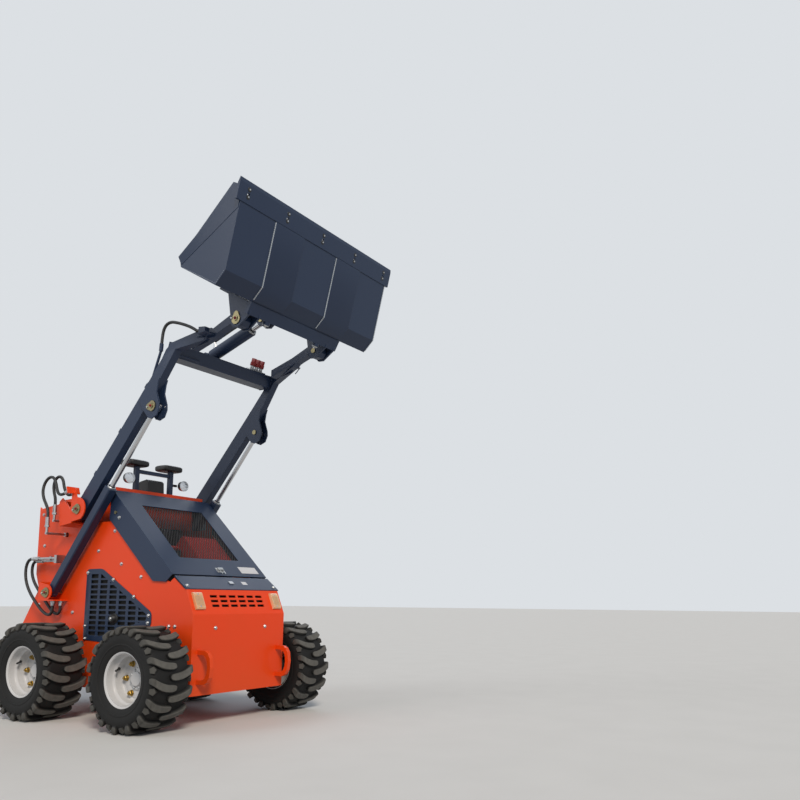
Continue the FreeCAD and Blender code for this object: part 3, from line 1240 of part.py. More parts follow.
# Check every object, then write one file for each sub-part
doc.recompute()
for thing in doc.Objects:
    if "Invalid" in thing.State or "Error" in thing.State:
        raise RuntimeError(f"{thing.Name} failed: {thing.State}")
for piece in pieces:
    if piece.Shape.isNull() or not piece.Shape.isValid():
        raise RuntimeError(f"{piece.Label} has no valid shape")
for piece in pieces:
    piece.Shape.exportStep(os.path.join("parts", piece.Label + ".step"))
    box = piece.Shape.BoundBox
    print(f"{piece.Label:22s} solids {len(piece.Shape.Solids)} volume {piece.Shape.Volume / 1e6:9.3f} litres "
          f"x {box.XMin:8.1f} {box.XMax:8.1f} y {box.YMin:8.1f} {box.YMax:8.1f} z {box.ZMin:8.1f} {box.ZMax:8.1f}")
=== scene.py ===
# %% [markdown]
# A compact skid steer loader, dressed for its photograph
#
# The machine stands on four lugged tyres with its boom raised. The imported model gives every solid
# in its real place, in metres: X forward, Y to the machine's left, Z up. This lesson gives each
# solid its real finish and adds the small pieces that a plain solid leaves out.

# %% Frame
import json
import math

import bmesh
import bpy
import numpy as np
from mathutils import Matrix, Vector


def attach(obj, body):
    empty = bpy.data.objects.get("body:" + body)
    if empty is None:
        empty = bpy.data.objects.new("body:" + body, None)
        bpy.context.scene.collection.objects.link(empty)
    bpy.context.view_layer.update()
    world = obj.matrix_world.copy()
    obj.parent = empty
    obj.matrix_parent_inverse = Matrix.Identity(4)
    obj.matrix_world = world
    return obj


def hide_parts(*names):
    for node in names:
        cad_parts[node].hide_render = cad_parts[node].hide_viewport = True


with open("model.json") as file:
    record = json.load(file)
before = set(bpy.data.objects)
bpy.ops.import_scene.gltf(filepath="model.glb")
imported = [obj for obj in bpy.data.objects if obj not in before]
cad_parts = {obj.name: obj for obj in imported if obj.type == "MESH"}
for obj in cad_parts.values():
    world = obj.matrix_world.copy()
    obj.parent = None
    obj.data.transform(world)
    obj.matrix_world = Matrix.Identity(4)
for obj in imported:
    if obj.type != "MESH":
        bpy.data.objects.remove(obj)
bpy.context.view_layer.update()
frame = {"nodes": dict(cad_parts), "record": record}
scene = bpy.context.scene

# %% [markdown]
# The camera stands low in front of the machine, to its right, and looks up along its flank. A lens
# could be matched by eye, but straight edges on the body, the wheels and the bucket fix it better:
# the place, the direction and the optical centre below were solved from them. The optical centre
# lies off the middle of the frame, so the lens is shifted rather than turned.

# %% Camera
IMAGE = 800.0
eye = Vector((4.2825, -3.5265, 0.7377))
yaw, pitch, roll = math.radians(118.72), math.radians(6.66), math.radians(0.38)
focal_px, centre_px = 781.2, (486.7, 509.1)
look = Vector((math.cos(yaw) * math.cos(pitch), math.sin(yaw) * math.cos(pitch), math.sin(pitch)))
level = Vector((math.sin(yaw), -math.cos(yaw), 0.0))
above = level.cross(look)
right = level * math.cos(roll) + above * math.sin(roll)
upward = above * math.cos(roll) - level * math.sin(roll)
lens = bpy.data.cameras.new("camera")
lens.sensor_width = 36.0
lens.lens = focal_px / IMAGE * lens.sensor_width
lens.shift_x = (IMAGE / 2 - centre_px[0]) / IMAGE
lens.shift_y = (centre_px[1] - IMAGE / 2) / IMAGE
lens.clip_start, lens.clip_end = 0.05, 100.0
camera = bpy.data.objects.new("camera", lens)
camera.matrix_world = Matrix.Translation(eye) @ Matrix((right, upward, -look)).transposed().to_4x4()
scene.collection.objects.link(camera)
scene.camera = camera
scene.view_settings.view_transform = "Standard"
print("lens", round(lens.lens, 2), "mm, shift", round(lens.shift_x, 3), round(lens.shift_y, 3))


# %% [markdown]
# Colours are written as sRGB hex values, the way a paint chart gives them, and turned to linear
# light once, here. One small function adds a node with its own settings and what goes into it, and
# a few shorter ones stand for the nodes that every finish needs.

# %% Helpers for materials
def linear(code):
    """sRGB hex to linear light: each channel c becomes ((c + 0.055) / 1.055) to the power 2.4."""
    channels = [int(code[i:i + 2], 16) / 255 for i in (1, 3, 5)]
    return [c / 12.92 if c <= 0.04045 else ((c + 0.055) / 1.055) ** 2.4 for c in channels] + [1.0]


def add(tree, kind, inputs=None, **settings):
    """Add one node with its settings. An input is a value, or the socket that feeds it."""
    made = tree.nodes.new(kind)
    for key, value in settings.items():
        setattr(made, key, value)
    for key, value in (inputs or {}).items():
        if isinstance(value, bpy.types.NodeSocket):
            tree.links.new(value, made.inputs[key])
        else:
            made.inputs[key].default_value = value
    return made


def texture(tree, kind, place, scale, detail=None, **settings):
    """One procedural texture: its factor, or for Voronoi its distance."""
    inputs = {"Vector": place, "Scale": scale}
    if detail is not None:
        inputs["Detail"] = detail
    made = add(tree, "ShaderNodeTex" + kind, inputs, **settings)
    return made.outputs["Distance" if kind == "Voronoi" else "Fac"]


def blend(tree, factor, low, high):
    """A colour between two. Each end is a hex code or a socket."""
    low, high = [end if isinstance(end, bpy.types.NodeSocket) else linear(end) for end in (low, high)]
    mix = add(tree, "ShaderNodeMix", {"Factor": factor, "A": low, "B": high}, data_type="RGBA")
    return mix.outputs["Result"]


def ramp(tree, value, from_low, from_high, to_low, to_high):
    """A value carried from one range to another, and held at its ends."""
    ends = {0: value, 1: from_low, 2: from_high, 3: to_low, 4: to_high}
    return add(tree, "ShaderNodeMapRange", ends).outputs[0]


def reckon(tree, operation, one, two):
    """One step of arithmetic on two values."""
    return add(tree, "ShaderNodeMath", {0: one, 1: two}, operation=operation).outputs[0]


def start(name):
    """A new material: its node tree, its Principled shader and its Object coordinates."""
    material = bpy.data.materials.new(name)
    material.use_nodes = True
    tree = material.node_tree
    tree.nodes.clear()
    shader = add(tree, "ShaderNodeBsdfPrincipled")
    add(tree, "ShaderNodeOutputMaterial", {"Surface": shader.outputs["BSDF"]})
    place = add(tree, "ShaderNodeTexCoord").outputs["Object"]
    return material, tree, shader, place


def feed(tree, shader, **inputs):
    """Link or set the shader's sockets by name, with underscores for spaces."""
    for key, value in inputs.items():
        socket = shader.inputs[key.replace("_", " ")]
        if isinstance(value, bpy.types.NodeSocket):
            tree.links.new(value, socket)
        else:
            socket.default_value = value


# %% [markdown]
# Light. Outdoors the real machine has an open sky above and sun from the front and its right. A
# studio does the same with far, broad lamps: a sun lamp with a wide angle lights evenly and throws a
# soft shadow. The key comes from the front, a weaker one from the side, and an even world fills in.
# The floor is pale and plain, and keeps the machine's shadow.

# %% Lights, floor and world
floor_mesh = bpy.data.meshes.new("floor")
floor_mesh.from_pydata([(-60, -60, 0), (60, -60, 0), (60, 60, 0), (-60, 60, 0)], [], [(0, 1, 2, 3)])
floor = bpy.data.objects.new("floor", floor_mesh)
scene.collection.objects.link(floor)
floor_finish, tree, shader, place = start("floor_matt_paint")
tone = blend(tree, texture(tree, "Noise", place, 3.0, 4.0), "#C6C6C4", "#CDCDCB")
feed(tree, shader, Base_Color=tone, Roughness=0.85, Specular_IOR_Level=0.2)
floor_mesh.materials.append(floor_finish)

world = bpy.data.worlds.new("studio")
scene.world = world
world.use_nodes = True
tree = world.node_tree
tree.nodes.clear()
ray = add(tree, "ShaderNodeLightPath").outputs
seen = reckon(tree, "MAXIMUM", ray["Is Camera Ray"], ray["Is Glossy Ray"])
seen = reckon(tree, "MAXIMUM", seen, ray["Is Transmission Ray"])
fill = add(tree, "ShaderNodeBackground", {"Color": linear("#DDE6F2"), "Strength": 0.42})
shown = add(tree, "ShaderNodeBackground", {"Color": linear("#DCE0E4"), "Strength": 1.0})
both = add(tree, "ShaderNodeMixShader", {0: seen, 1: fill.outputs[0], 2: shown.outputs[0]})
add(tree, "ShaderNodeOutputWorld", {"Surface": both.outputs[0]})


def lamp(name, towards, strength, spread, code):
    """A broad sun lamp that shines from the given direction; spread is its width in degrees."""
    light = bpy.data.lights.new(name, "SUN")
    light.energy, light.angle = strength, math.radians(spread)
    light.color = linear(code)[:3]
    made = bpy.data.objects.new(name, light)
    made.rotation_mode = "QUATERNION"
    made.rotation_quaternion = Vector(towards).to_track_quat("Z", "Y")
    made.location = Vector(towards) * 6.0
    scene.collection.objects.link(made)


lamp("key", (0.66, -0.52, 0.66), 2.5, 14.0, "#FFF4E6")
lamp("side", (-0.45, -0.75, 0.45), 0.6, 30.0, "#FFFFFF")
lamp("far", (-0.5, 0.6, 0.6), 0.45, 30.0, "#EAF1FF")

# %% [markdown]
# Paint. The body is powder coated: dry powder is sprayed on and baked, so it flows into a gloss
# skin with a faint orange peel, and it dulls where dust settles. The same recipe serves the orange
# and the charcoal, with other colours and gloss. Peel is really 1 to 3 mm across; it is drawn at
# 6 mm, so that it shows at this size. Folded and cut sheet has no knife edge, so a Bevel node rounds
# the shading by 2 mm, and where it turns the surface, the paint is rubbed a little paler.


# %% Powder coat
def powder_coat(name, code, dusty, gloss, rubbed):
    """Two tones mixed by a broad noise, dust towards the ground, rubbed edges and a fine bumped skin."""
    material, tree, shader, place = start(name)
    clouds = ramp(tree, texture(tree, "Noise", place, 2.2, 5.0), 0.35, 0.7, 0.0, 0.3)
    height = add(tree, "ShaderNodeSeparateXYZ", {0: place}).outputs["Z"]
    dust = reckon(tree, "ADD", clouds, ramp(tree, height, 0.15, 0.75, 0.3, 0.0))
    tone = blend(tree, dust, code, dusty)
    rounded = add(tree, "ShaderNodeBevel", {"Radius": 0.002}, samples=4).outputs[0]
    flat = add(tree, "ShaderNodeNewGeometry").outputs["Normal"]
    turned_by = add(tree, "ShaderNodeVectorMath", {0: rounded, 1: flat}, operation="DOT_PRODUCT")
    edge = ramp(tree, turned_by.outputs["Value"], 0.985, 0.86, 0.0, 1.0)
    patchy = ramp(tree, texture(tree, "Noise", place, 26.0, 4.0), 0.42, 0.62, 0.0, 0.8)
    tone = blend(tree, reckon(tree, "MULTIPLY", edge, patchy), tone, rubbed)
    peel = texture(tree, "Noise", place, 160.0, 2.0)
    bump = add(tree, "ShaderNodeBump",
               {"Height": peel, "Distance": 0.0012, "Strength": 0.2, "Normal": rounded})
    feed(tree, shader, Base_Color=tone, Roughness=ramp(tree, dust, 0.0, 0.7, gloss, gloss + 0.22), IOR=1.5,
         Normal=bump.outputs[0], Specular_IOR_Level=0.32, Coat_Weight=0.1, Coat_Roughness=0.15)
    return material


finishes = {
    "orange_paint": powder_coat("orange_powder_coat", "#DF3D05", "#C64A14", 0.36, "#E2622C"),
    # the charcoal is dark grey paint; the blue cast of its three tones is a painted reflection of the sky
    "charcoal_paint": powder_coat("sky_tinted_charcoal_powder_coat", "#1C2B45", "#28374D", 0.38, "#4A5B74"),
    "red_paint": powder_coat("red_powder_coat", "#CF3A33", "#B04A42", 0.42, "#D0605A"),
    "rim_paint": powder_coat("silver_rim_paint", "#C3C4C8", "#ABAAA6", 0.3, "#D8D8DA"),
    "axle_steel": powder_coat("black_chassis_paint", "#1E1F21", "#3A3835", 0.5, "#4A4A4A"),
    "mesh_steel": powder_coat("black_mesh_paint", "#17181B", "#2A2B2D", 0.5, "#3C3D40"),
}
print("powder coats", len(finishes))

# %% [markdown]
# Everything else is rubber, metal, glass or plastic with one fine grain of its own. The grain comes
# from how the thing is made, so each finish below starts from its process, and one recipe takes the
# grain's size, the two tones, the gloss and how deep the grain is. Only the tyres need more: what has
# rolled on the ground is grey with dust, and the tread pieces carry that as an attribute.


# %% Rubber, metals and plastics
def grained(name, grain, tones, bump=None, **sockets):
    """One texture mixes the tones, sets a roughness given as a pair, and bumps the surface by a
    distance and a strength."""
    material, tree, shader, place = start(name)
    kind, scale, detail, settings = grain
    fine = texture(tree, kind, place, scale, detail, **settings)
    if isinstance(sockets["Roughness"], tuple):
        sockets["Roughness"] = ramp(tree, fine, 0.0, 1.0, *sockets["Roughness"])
    if bump:
        relief = add(tree, "ShaderNodeBump", {"Height": fine, "Distance": bump[0], "Strength": bump[1]})
        sockets["Normal"] = relief.outputs[0]
    base = blend(tree, fine, *tones) if len(tones) == 2 else linear(tones[0])
    feed(tree, shader, Base_Color=base, **sockets)
    return material


def noise(scale, detail=None):
    """The grain of a sprayed, cast, plated or wrapped surface."""
    return "Noise", scale, detail, {}


def cells(scale):
    """The grain of moulded facets, leather grain or foam."""
    return "Voronoi", scale, None, {}


# synthetic rubber, wrapped in cloth while it cures
finishes["hose_rubber"] = grained("wrapped_hose_rubber", noise(300.0, 2.0), ("#0F1011", "#202123"),
                                  (0.0006, 0.5), Roughness=0.5, IOR=1.5)
finishes["foam_rubber"] = finishes["hose_rubber"]
# steel bar, ground, hard chromed and polished
finishes["chrome_rod"] = grained("ground_and_chromed_rod", noise(60.0, 3.0), ("#C9CBCE",),
                                 Metallic=1.0, Roughness=(0.06, 0.2))
# steel, electroplated with zinc and passivated clear
finishes["zinc_steel"] = grained("bright_zinc_plate", noise(45.0, 4.0), ("#C4C6C8", "#9DA0A2"),
                                 Metallic=1.0, Roughness=(0.25, 0.5))
# grey iron, cast in sand and painted
finishes["engine_iron"] = grained("sand_cast_iron", noise(140.0, 5.0), ("#26272A", "#3D3D3F"),
                                  (0.002, 0.5), Roughness=0.65)
# plastic, injected into a grained mould
finishes["black_plastic"] = grained("grained_black_plastic", cells(420.0), ("#111213", "#1C1D1F"),
                                    (0.0005, 0.5), Roughness=0.48, IOR=1.46)
# acrylic, injected over a ribbed mould
finishes["amber_lens"] = grained("moulded_amber_lens", ("Wave", 55.0, None, {"bands_direction": "Y"}),
                                 ("#D19A6C", "#E2B48C"), (0.0015, 0.5), Roughness=0.15, IOR=1.49,
                                 Subsurface_Weight=0.2, Coat_Weight=0.5)
# steel, zinc plated and chromated yellow
brass = grained("yellow_chromated_wheel_nut", noise(70.0, 3.0), ("#B99B55", "#8A7340"),
                Metallic=1.0, Roughness=0.3)
yellow_zinc = grained("yellow_chromated_keeper", noise(45.0, 4.0), ("#A59A72", "#77705A"),
                      Metallic=1.0, Roughness=0.36)
# glass, pressed into facets in front of a bright reflector
lens_glass = grained("moulded_lamp_glass", cells(90.0), ("#D9DCE0",), (0.002, 0.8),
                     Metallic=0.85, Roughness=0.12, Coat_Weight=1.0)
# a black sheet with a foam-like grain: painted shade for the dark engine bay behind the grilles
shade_sheet_finish = grained("black_painted_shade_sheet", cells(60.0), ("#060606", "#131314"), Roughness=0.95)
# soft vinyl, dipped or moulded
cap_red = grained("moulded_red_cap", noise(50.0), ("#8C1616", "#6E1414"), Roughness=0.4, IOR=1.5)
# weld metal, laid down drop by drop and drawn bare and bright: a painted highlight for the light the beads
# catch
weld_highlight_metal = grained("bright_weld_highlight_metal", noise(190.0, 3.0), ("#8E969E", "#C7CCD1"),
                 Metallic=0.9, Roughness=0.42)

# carbon black rubber, vulcanised in a mould
tyre, tree, shader, place = start("vulcanised_tyre_rubber")
tone = blend(tree, texture(tree, "Noise", place, 9.0, 6.0), "#0B0C0D", "#181818")
worn = add(tree, "ShaderNodeAttribute", attribute_name="worn", attribute_type="GEOMETRY").outputs["Fac"]
grey = ramp(tree, texture(tree, "Noise", place, 38.0, 5.0), 0.3, 0.7, 0.7, 1.0)
tone = blend(tree, reckon(tree, "MULTIPLY", worn, grey), tone, "#5C5B57")
fine = texture(tree, "Noise", place, 220.0, 3.0)
bump = add(tree, "ShaderNodeBump", {"Height": fine, "Distance": 0.001, "Strength": 0.4})
feed(tree, shader, Base_Color=tone, Roughness=0.72, IOR=1.5, Specular_IOR_Level=0.3, Normal=bump.outputs[0])
finishes["tyre_rubber"] = tyre
print("finishes", len(finishes) + 6)

# %% [markdown]
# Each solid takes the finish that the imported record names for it, and pins with their keepers are
# chromated yellow. The solids' meshes stay untouched.

# %% Finishes for the solids
slots = {part["node"]: part["material_slot"] for part in frame["record"]["subparts"]}
for node, solid in frame["nodes"].items():
    solid.data.materials.clear()
    keeper = node in ("boom_pins", "tower_pins", "hitch_pins")
    solid.data.materials.append(yellow_zinc if keeper else finishes[slots[node]])
print("solids finished", len(slots))

# %% [markdown]
# New pieces are surfaces worked out as whole arrays. A few small functions cover all of them: quads
# over a grid of points, a tube over a row of rings, an outline given its thickness, a round bar along
# a path, and a profile turned about an axis. Sizes are written in millimetres, as on a drawing, and
# turned to metres when the piece is fitted.


# %% Helpers for surfaces
def skin(points, round_u=False, round_v=False):
    """Quads over a grid of points[u, v]. A round way closes on itself."""
    rows, columns = points.shape[:2]
    index = np.arange(rows * columns).reshape(rows, columns)
    if round_u:
        index = np.vstack([index, index[:1]])
    if round_v:
        index = np.hstack([index, index[:, :1]])
    quads = np.stack([index[:-1, :-1], index[1:, :-1], index[1:, 1:], index[:-1, 1:]], axis=-1)
    return points.reshape(-1, 3), quads.reshape(-1, 4).tolist()


def closed_tube(rings):
    """A tube over rings[ring, corner], with a flat face at each end."""
    points, faces = skin(rings, round_v=True)
    sides = rings.shape[1]
    last = len(points) - sides
    return points, faces + [list(range(sides)), list(range(last, last + sides))]


def together(forms):
    """Several forms as one: each one's corners are counted on from those before it."""
    points, faces, count = [], [], 0
    for form_points, form_faces in forms:
        points.append(form_points)
        faces += [[corner + count for corner in face] for face in form_faces]
        count += len(form_points)
    return np.concatenate(points), faces


def moved(form, origin, u=(1, 0, 0), v=(0, 1, 0), w=(0, 0, 1)):
    """The form's own three directions become u, v and w, and its origin goes to the given place."""
    points, faces = form
    return points @ np.array([u, v, w], float) + np.asarray(origin, float), faces


def unit(vector):
    """The vector's direction: itself over its length."""
    return np.asarray(vector, float) / np.linalg.norm(vector)


def facing(normal, upright=(0.0, 0.0, 1.0)):
    """Directions u, v and w for a piece that lies on a surface, with w out of the surface."""
    w = unit(normal)
    u = np.cross(upright, w)
    if np.linalg.norm(u) < 0.1:
        u = np.cross((1.0, 0.0, 0.0), w)
    u = unit(u)
    return u, np.cross(w, u), w


def prism(outline, low, high, chamfer):
    """An outline (u, v) carried from low to high along w. Both ends are chamfered: their ring is the
    outline with each point drawn towards the middle by the chamfer."""
    outline = np.asarray(outline, float)
    middle = outline.mean(axis=0)
    reach = np.linalg.norm(outline - middle, axis=1, keepdims=True)
    inner = middle + (outline - middle) * (1 - chamfer / reach)
    rings = [(inner, low), (outline, low + chamfer), (outline, high - chamfer), (inner, high)]
    return closed_tube(np.array([np.column_stack([ring, np.full(len(ring), level)])
                                 for ring, level in rings]))


def regular(sides, radius, turn=0.0):
    """Corners of a regular polygon: radius times the cosine and sine of equal steps."""
    angle = np.linspace(0, 2 * np.pi, sides, endpoint=False) + turn
    return np.column_stack([radius * np.cos(angle), radius * np.sin(angle)])


def rectangle(width, height):
    """Corners of a rectangle about the middle."""
    return np.array([(-width, -height), (width, -height), (width, height), (-width, height)]) / 2


def stack(*layers):
    """Prisms one over the other. Each layer is its number of sides, radius, low, high and chamfer."""
    return together([prism(regular(sides, radius), low, high, chamfer)
                     for sides, radius, low, high, chamfer in layers])


def evened(path, step):
    """The path cut again into equal steps: its points, and how far along it each one stands. The
    step is a length, or with a whole number the count of points."""
    path = np.asarray(path, float)
    reached = np.concatenate([[0], np.cumsum(np.linalg.norm(np.diff(path, axis=0), axis=1))])
    spots = np.linspace(0, reached[-1], step) if isinstance(step, int) else np.arange(0, reached[-1], step)
    return np.column_stack([np.interp(spots, reached, column) for column in path.T]), spots


def rod(path, radius, sides=12):
    """A round bar along a path: at each point a ring of the radius stands square to the path.
    The radius is one number, or one for each point."""
    path = np.asarray(path, float)
    run = np.gradient(path, axis=0)
    run /= np.linalg.norm(run, axis=1, keepdims=True)
    guide = np.array((0.0, 1.0, 0.0)) if np.abs(run[:, 1]).max() < 0.9 else np.array((1.0, 0.0, 0.0))
    side = np.cross(run, guide)
    side /= np.linalg.norm(side, axis=1, keepdims=True)
    other = np.cross(run, side)
    turn = np.linspace(0, 2 * np.pi, sides, endpoint=False)[None, :, None]
    ring = side[:, None] * np.cos(turn) + other[:, None] * np.sin(turn)
    return closed_tube(path[:, None] + np.broadcast_to(radius, len(path))[:, None, None] * ring)


def turned(profile, count=32):
    """A closed profile of (along, radius) points turned about w: u = r cos t, v = r sin t."""
    along, radius = np.asarray(profile, float).T
    turn = np.linspace(0, 2 * np.pi, count, endpoint=False)[:, None]
    level = np.broadcast_to(along, (count, len(along)))
    return skin(np.stack([radius * np.cos(turn), radius * np.sin(turn), level], axis=-1), True, True)


def fit(name, forms, body, slot, finish=None, stands_for=(), crease=35.0):
    """Make the piece from its forms, point its faces outwards, and let it ride on its body."""
    points, faces = together(forms)
    mesh = bpy.data.meshes.new(name)
    mesh.from_pydata((points * 0.001).tolist(), [], faces)
    work = bmesh.new()
    work.from_mesh(mesh)
    bmesh.ops.remove_doubles(work, verts=work.verts, dist=1e-6)
    bmesh.ops.recalc_face_normals(work, faces=work.faces)
    work.to_mesh(mesh)
    work.free()
    mesh.shade_smooth()
    mesh.set_sharp_from_angle(angle=math.radians(crease))
    mesh.materials.append(finish or finishes[slot])
    made = bpy.data.objects.new(name, mesh)
    scene.collection.objects.link(made)
    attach(made, body)
    if stands_for:
        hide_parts(*stands_for)
    return made


SIDES = (("right", -1), ("left", 1))
ALONG, ACROSS, UP = np.eye(3)


def beside(form, x, out, z, sign):
    """The form laid on one side of the machine: its u runs forward, its v up and its w outwards."""
    return moved(form, (x, sign * out, z), ALONG, UP, sign * ACROSS)


print("surface helpers ready")

# %% [markdown]
# Hoses. Hydraulic hose is steel-braided rubber, about 18 mm thick, inside a black spiral guard that
# saves it from rubbing. It is stiff, so it leaves each fitting straight and bends in one smooth loop.
# The line is a NURBS spline through the same route as the solid's. The guard's ribs are drawn as a
# tube whose radius waves every 8 mm along that line.

# %% Hoses
ROUTES = {
    "upper_hose_far": ("upper_hoses", "chassis", 0.572, [
        (-588, -503, 1250.3), (-588, -503, 1292), (-620, -500, 1335), (-660, -496, 1378), (-684, -490, 1430),
        (-676, -484, 1482), (-640, -480, 1516), (-592, -480, 1514), (-558, -484, 1475), (-538, -487, 1430),
        (-512, -492, 1398), (-472.1, -492, 1387), (-436.7, -492, 1399.8)]),
    "upper_hose_near": ("upper_hoses", "chassis", 0.431, [
        (-588, -460, 1335.3), (-588, -460, 1374), (-610, -458, 1412), (-624, -456, 1452), (-622, -453, 1492),
        (-597, -451, 1519), (-561, -450, 1519), (-536, -449, 1492), (-526, -448, 1450), (-507, -445, 1412),
        (-472.1, -445, 1387), (-436.7, -445, 1399.8)]),
    "boom_hose_line": ("boom_hose", "boom", 0.446, [
        (303.3, -420, 2285.2), (306.3, -420, 2328.9), (314.3, -420, 2371.9), (337.3, -420, 2401.9),
        (379.3, -420, 2410.9), (429.3, -420, 2397.9), (485.3, -420, 2378.9), (539.3, -420, 2356.9),
        (585.3, -420, 2332.9), (612, -420, 2314), (639.7, -420, 2314)]),
}
# forward and up, for both sides; the outer hose runs at y 430 and the inner one at 400
OUTER = [(-835.3, 990), (-872, 990), (-903, 950), (-907, 890), (-886, 826), (-836, 762), (-772, 706),
         (-705, 655), (-648, 628), (-606, 627), (-588, 654), (-588, 685.7)]
INNER = [(-835.3, 976), (-862, 976), (-885, 945), (-884, 893), (-855, 840), (-804, 790), (-748, 742),
         (-695, 695), (-645, 655), (-603, 634), (-570, 632), (-553, 655), (-553, 685.7)]
for side, sign in SIDES:
    for run, length, y, route in (("outer", 0.625, 430, OUTER), ("inner", 0.589, 400, INNER)):
        points = [(x, sign * y, z) for x, z in route]
        ROUTES[f"lower_hose_{run}_{side}"] = ("lower_hoses", "chassis", length, points)
HOSE_RADIUS, RIB, RIB_PITCH = 9.0, 0.7, 8.0


def spline_points(name, points):
    """A NURBS spline of order 3 through the ends of the route, read back as a row of points."""
    curve = bpy.data.curves.new(name + "_line", "CURVE")
    curve.dimensions = "3D"
    spline = curve.splines.new("NURBS")
    spline.points.add(len(points) - 1)
    spline.points.foreach_set("co", np.column_stack([np.array(points) * 0.001, np.ones(len(points))]).ravel())
    spline.order_u = 3
    spline.use_endpoint_u = True
    spline.resolution_u = 24
    holder = bpy.data.objects.new(name + "_line", curve)
    mesh = bpy.data.meshes.new_from_object(holder)
    line = np.empty(len(mesh.vertices) * 3)
    mesh.vertices.foreach_get("co", line)
    bpy.data.meshes.remove(mesh)
    bpy.data.objects.remove(holder)
    bpy.data.curves.remove(curve)
    return line.reshape(-1, 3)


for name, (node, body, length, points) in ROUTES.items():
    line = spline_points(name, points) * 1000
    legs = np.linalg.norm(np.diff(line, axis=0), axis=1)
    line = line[np.concatenate([[True], legs > 1e-6])]
    even, spots = evened(line, int(legs.sum() / 2.0))
    guard = HOSE_RADIUS + RIB * np.cos(2 * np.pi * spots / RIB_PITCH)
    guard[:6] = guard[-6:] = HOSE_RADIUS
    tube = fit(name, [rod(even, guard, 14)], body, "hose_rubber", stands_for=[node], crease=50)
print("hoses", len(ROUTES))

# %% [markdown]
# Hose ends. A crimped steel sleeve grips each hose, and a hex nut screws it to its line. The sleeves
# are in the model, so only the nuts and the crimp rings are added.

# %% Nuts and crimp rings
collar = stack((6, 14.5, -7.0, 7.0, 1.6))
crimp = turned([(-2.0, 11.6), (-1.2, 13.0), (1.2, 13.0), (2.0, 11.6)], 24)
ends = []
for side, sign in SIDES:
    for x, y, z in ((-770, 430, 990), (-770, 400, 976), (-640, 430, 990), (-640, 400, 976)):
        ends.append(moved(collar, (x, sign * y, z), UP, ACROSS, ALONG))
    for x in (-826, -812, -798):
        for y, z in ((430, 990), (400, 976)):
            ends.append(moved(crimp, (x, sign * y, z), UP, ACROSS, ALONG))
    for x, y in ((-588, 430), (-553, 400)):
        ends.append(moved(collar, (x, sign * y, 708), ALONG, ACROSS, UP))
        ends.append(moved(crimp, (x, sign * y, 692), ALONG, ACROSS, UP))
for y, low in ((-460, 1231), (-503, 1146)):
    ends.append(moved(collar, (-588, y, low + 46), ALONG, ACROSS, UP))
    ends += [moved(crimp, (-588, y, low + high), ALONG, ACROSS, UP) for high in (70, 84, 98)]
    ends.append(moved(collar, (-588, -376, low), ALONG, UP, ACROSS))
bracket_run = unit((94.0, 0, 34.2))
for y in (-445, -492):
    ends.append(moved(stack((6, 14.5, -6.0, 6.0, 1.4)), np.array((-395.0, y, 1415.0)) - 8 * bracket_run,
                      ACROSS, np.cross(bracket_run, ACROSS), bracket_run))
fit("hose_nuts", ends, "chassis", "zinc_steel", crease=25)
print("hose nuts and rings", len(ends))

# %% [markdown]
# Tyres. A loader's tyre is moulded in one piece: a bulged carcass, and thick lugs that start on the
# sidewall, turn over the shoulder and sweep past the middle of the tread, where they end rounded. The
# carcass is a profile turned about the axle. A lug is a row of sections along a curved line, each a
# low trapezium, and the thirty lugs are one array turned to thirty angles. Rolling keeps the tops of
# the lugs dusty, so they carry an attribute that the rubber reads.

# %% Carcass and lugs
AXLE, TRACK, TYRE_RADIUS, TREAD_BASE = 464.0, 569.0, 292.0, 262.0
LUGS = 15
# across from the tyre's middle, radius
SIDEWALL = [(99, 140.6), (104, 146), (107.6, 152), (108.8, 155.4), (112, 159), (116.5, 169), (119.5, 179),
            (121.6, 187), (124.2, 189), (125.0, 194), (123.6, 197), (126.0, 208), (127.4, 216), (127.6, 226),
            (126.4, 236), (124, 246), (118.5, 255), (111, 262.5), (103, 267), (92, 269.4), (60, 270.6),
            (20, 271.0)]
INSIDE = [(92, 146), (97, 185), (104, 215), (98, 242), (80, 256), (30, 262)]
outside, lining = np.array(SIDEWALL, float), np.array(INSIDE, float)
MIRROR = (-1, 1)
carcass = turned(np.concatenate([outside, outside[::-1] * MIRROR, lining * MIRROR, lining[::-1]]), 96)

# across and radius of the top, across and radius of the foot, lead in degrees, half width
LUG_LINE = np.array([
    (126.5, 240, 118, 236, 0.0, 12.0), (131.6, 252, 114, 244, 0.0, 15.5), (132.6, 266, 110, 252, 0.3, 18.0),
    (131.4, 278, 106, 258, 0.8, 19.5), (126.5, 286, 103, 261, 1.6, 20.5), (116, 290.6, 99, 262, 2.9, 21.0),
    (102, 292, 94, 262, 4.4, 21.5), (78, 292, 76, 262, 6.7, 21.5), (52, 292, 52, 262, 8.4, 21.0),
    (28, 292, 28, 262, 9.3, 20.5), (6, 292, 6, 262, 9.6, 19.5), (-10, 291.5, -10, 262, 9.5, 16.5),
    (-18, 290, -17, 262, 9.4, 12.0), (-22, 287, -20, 262, 9.3, 6.0)])
stations = np.linspace(0, len(LUG_LINE) - 1, 27)
lug_line = np.column_stack([np.interp(stations, np.arange(len(LUG_LINE)), column) for column in LUG_LINE.T])
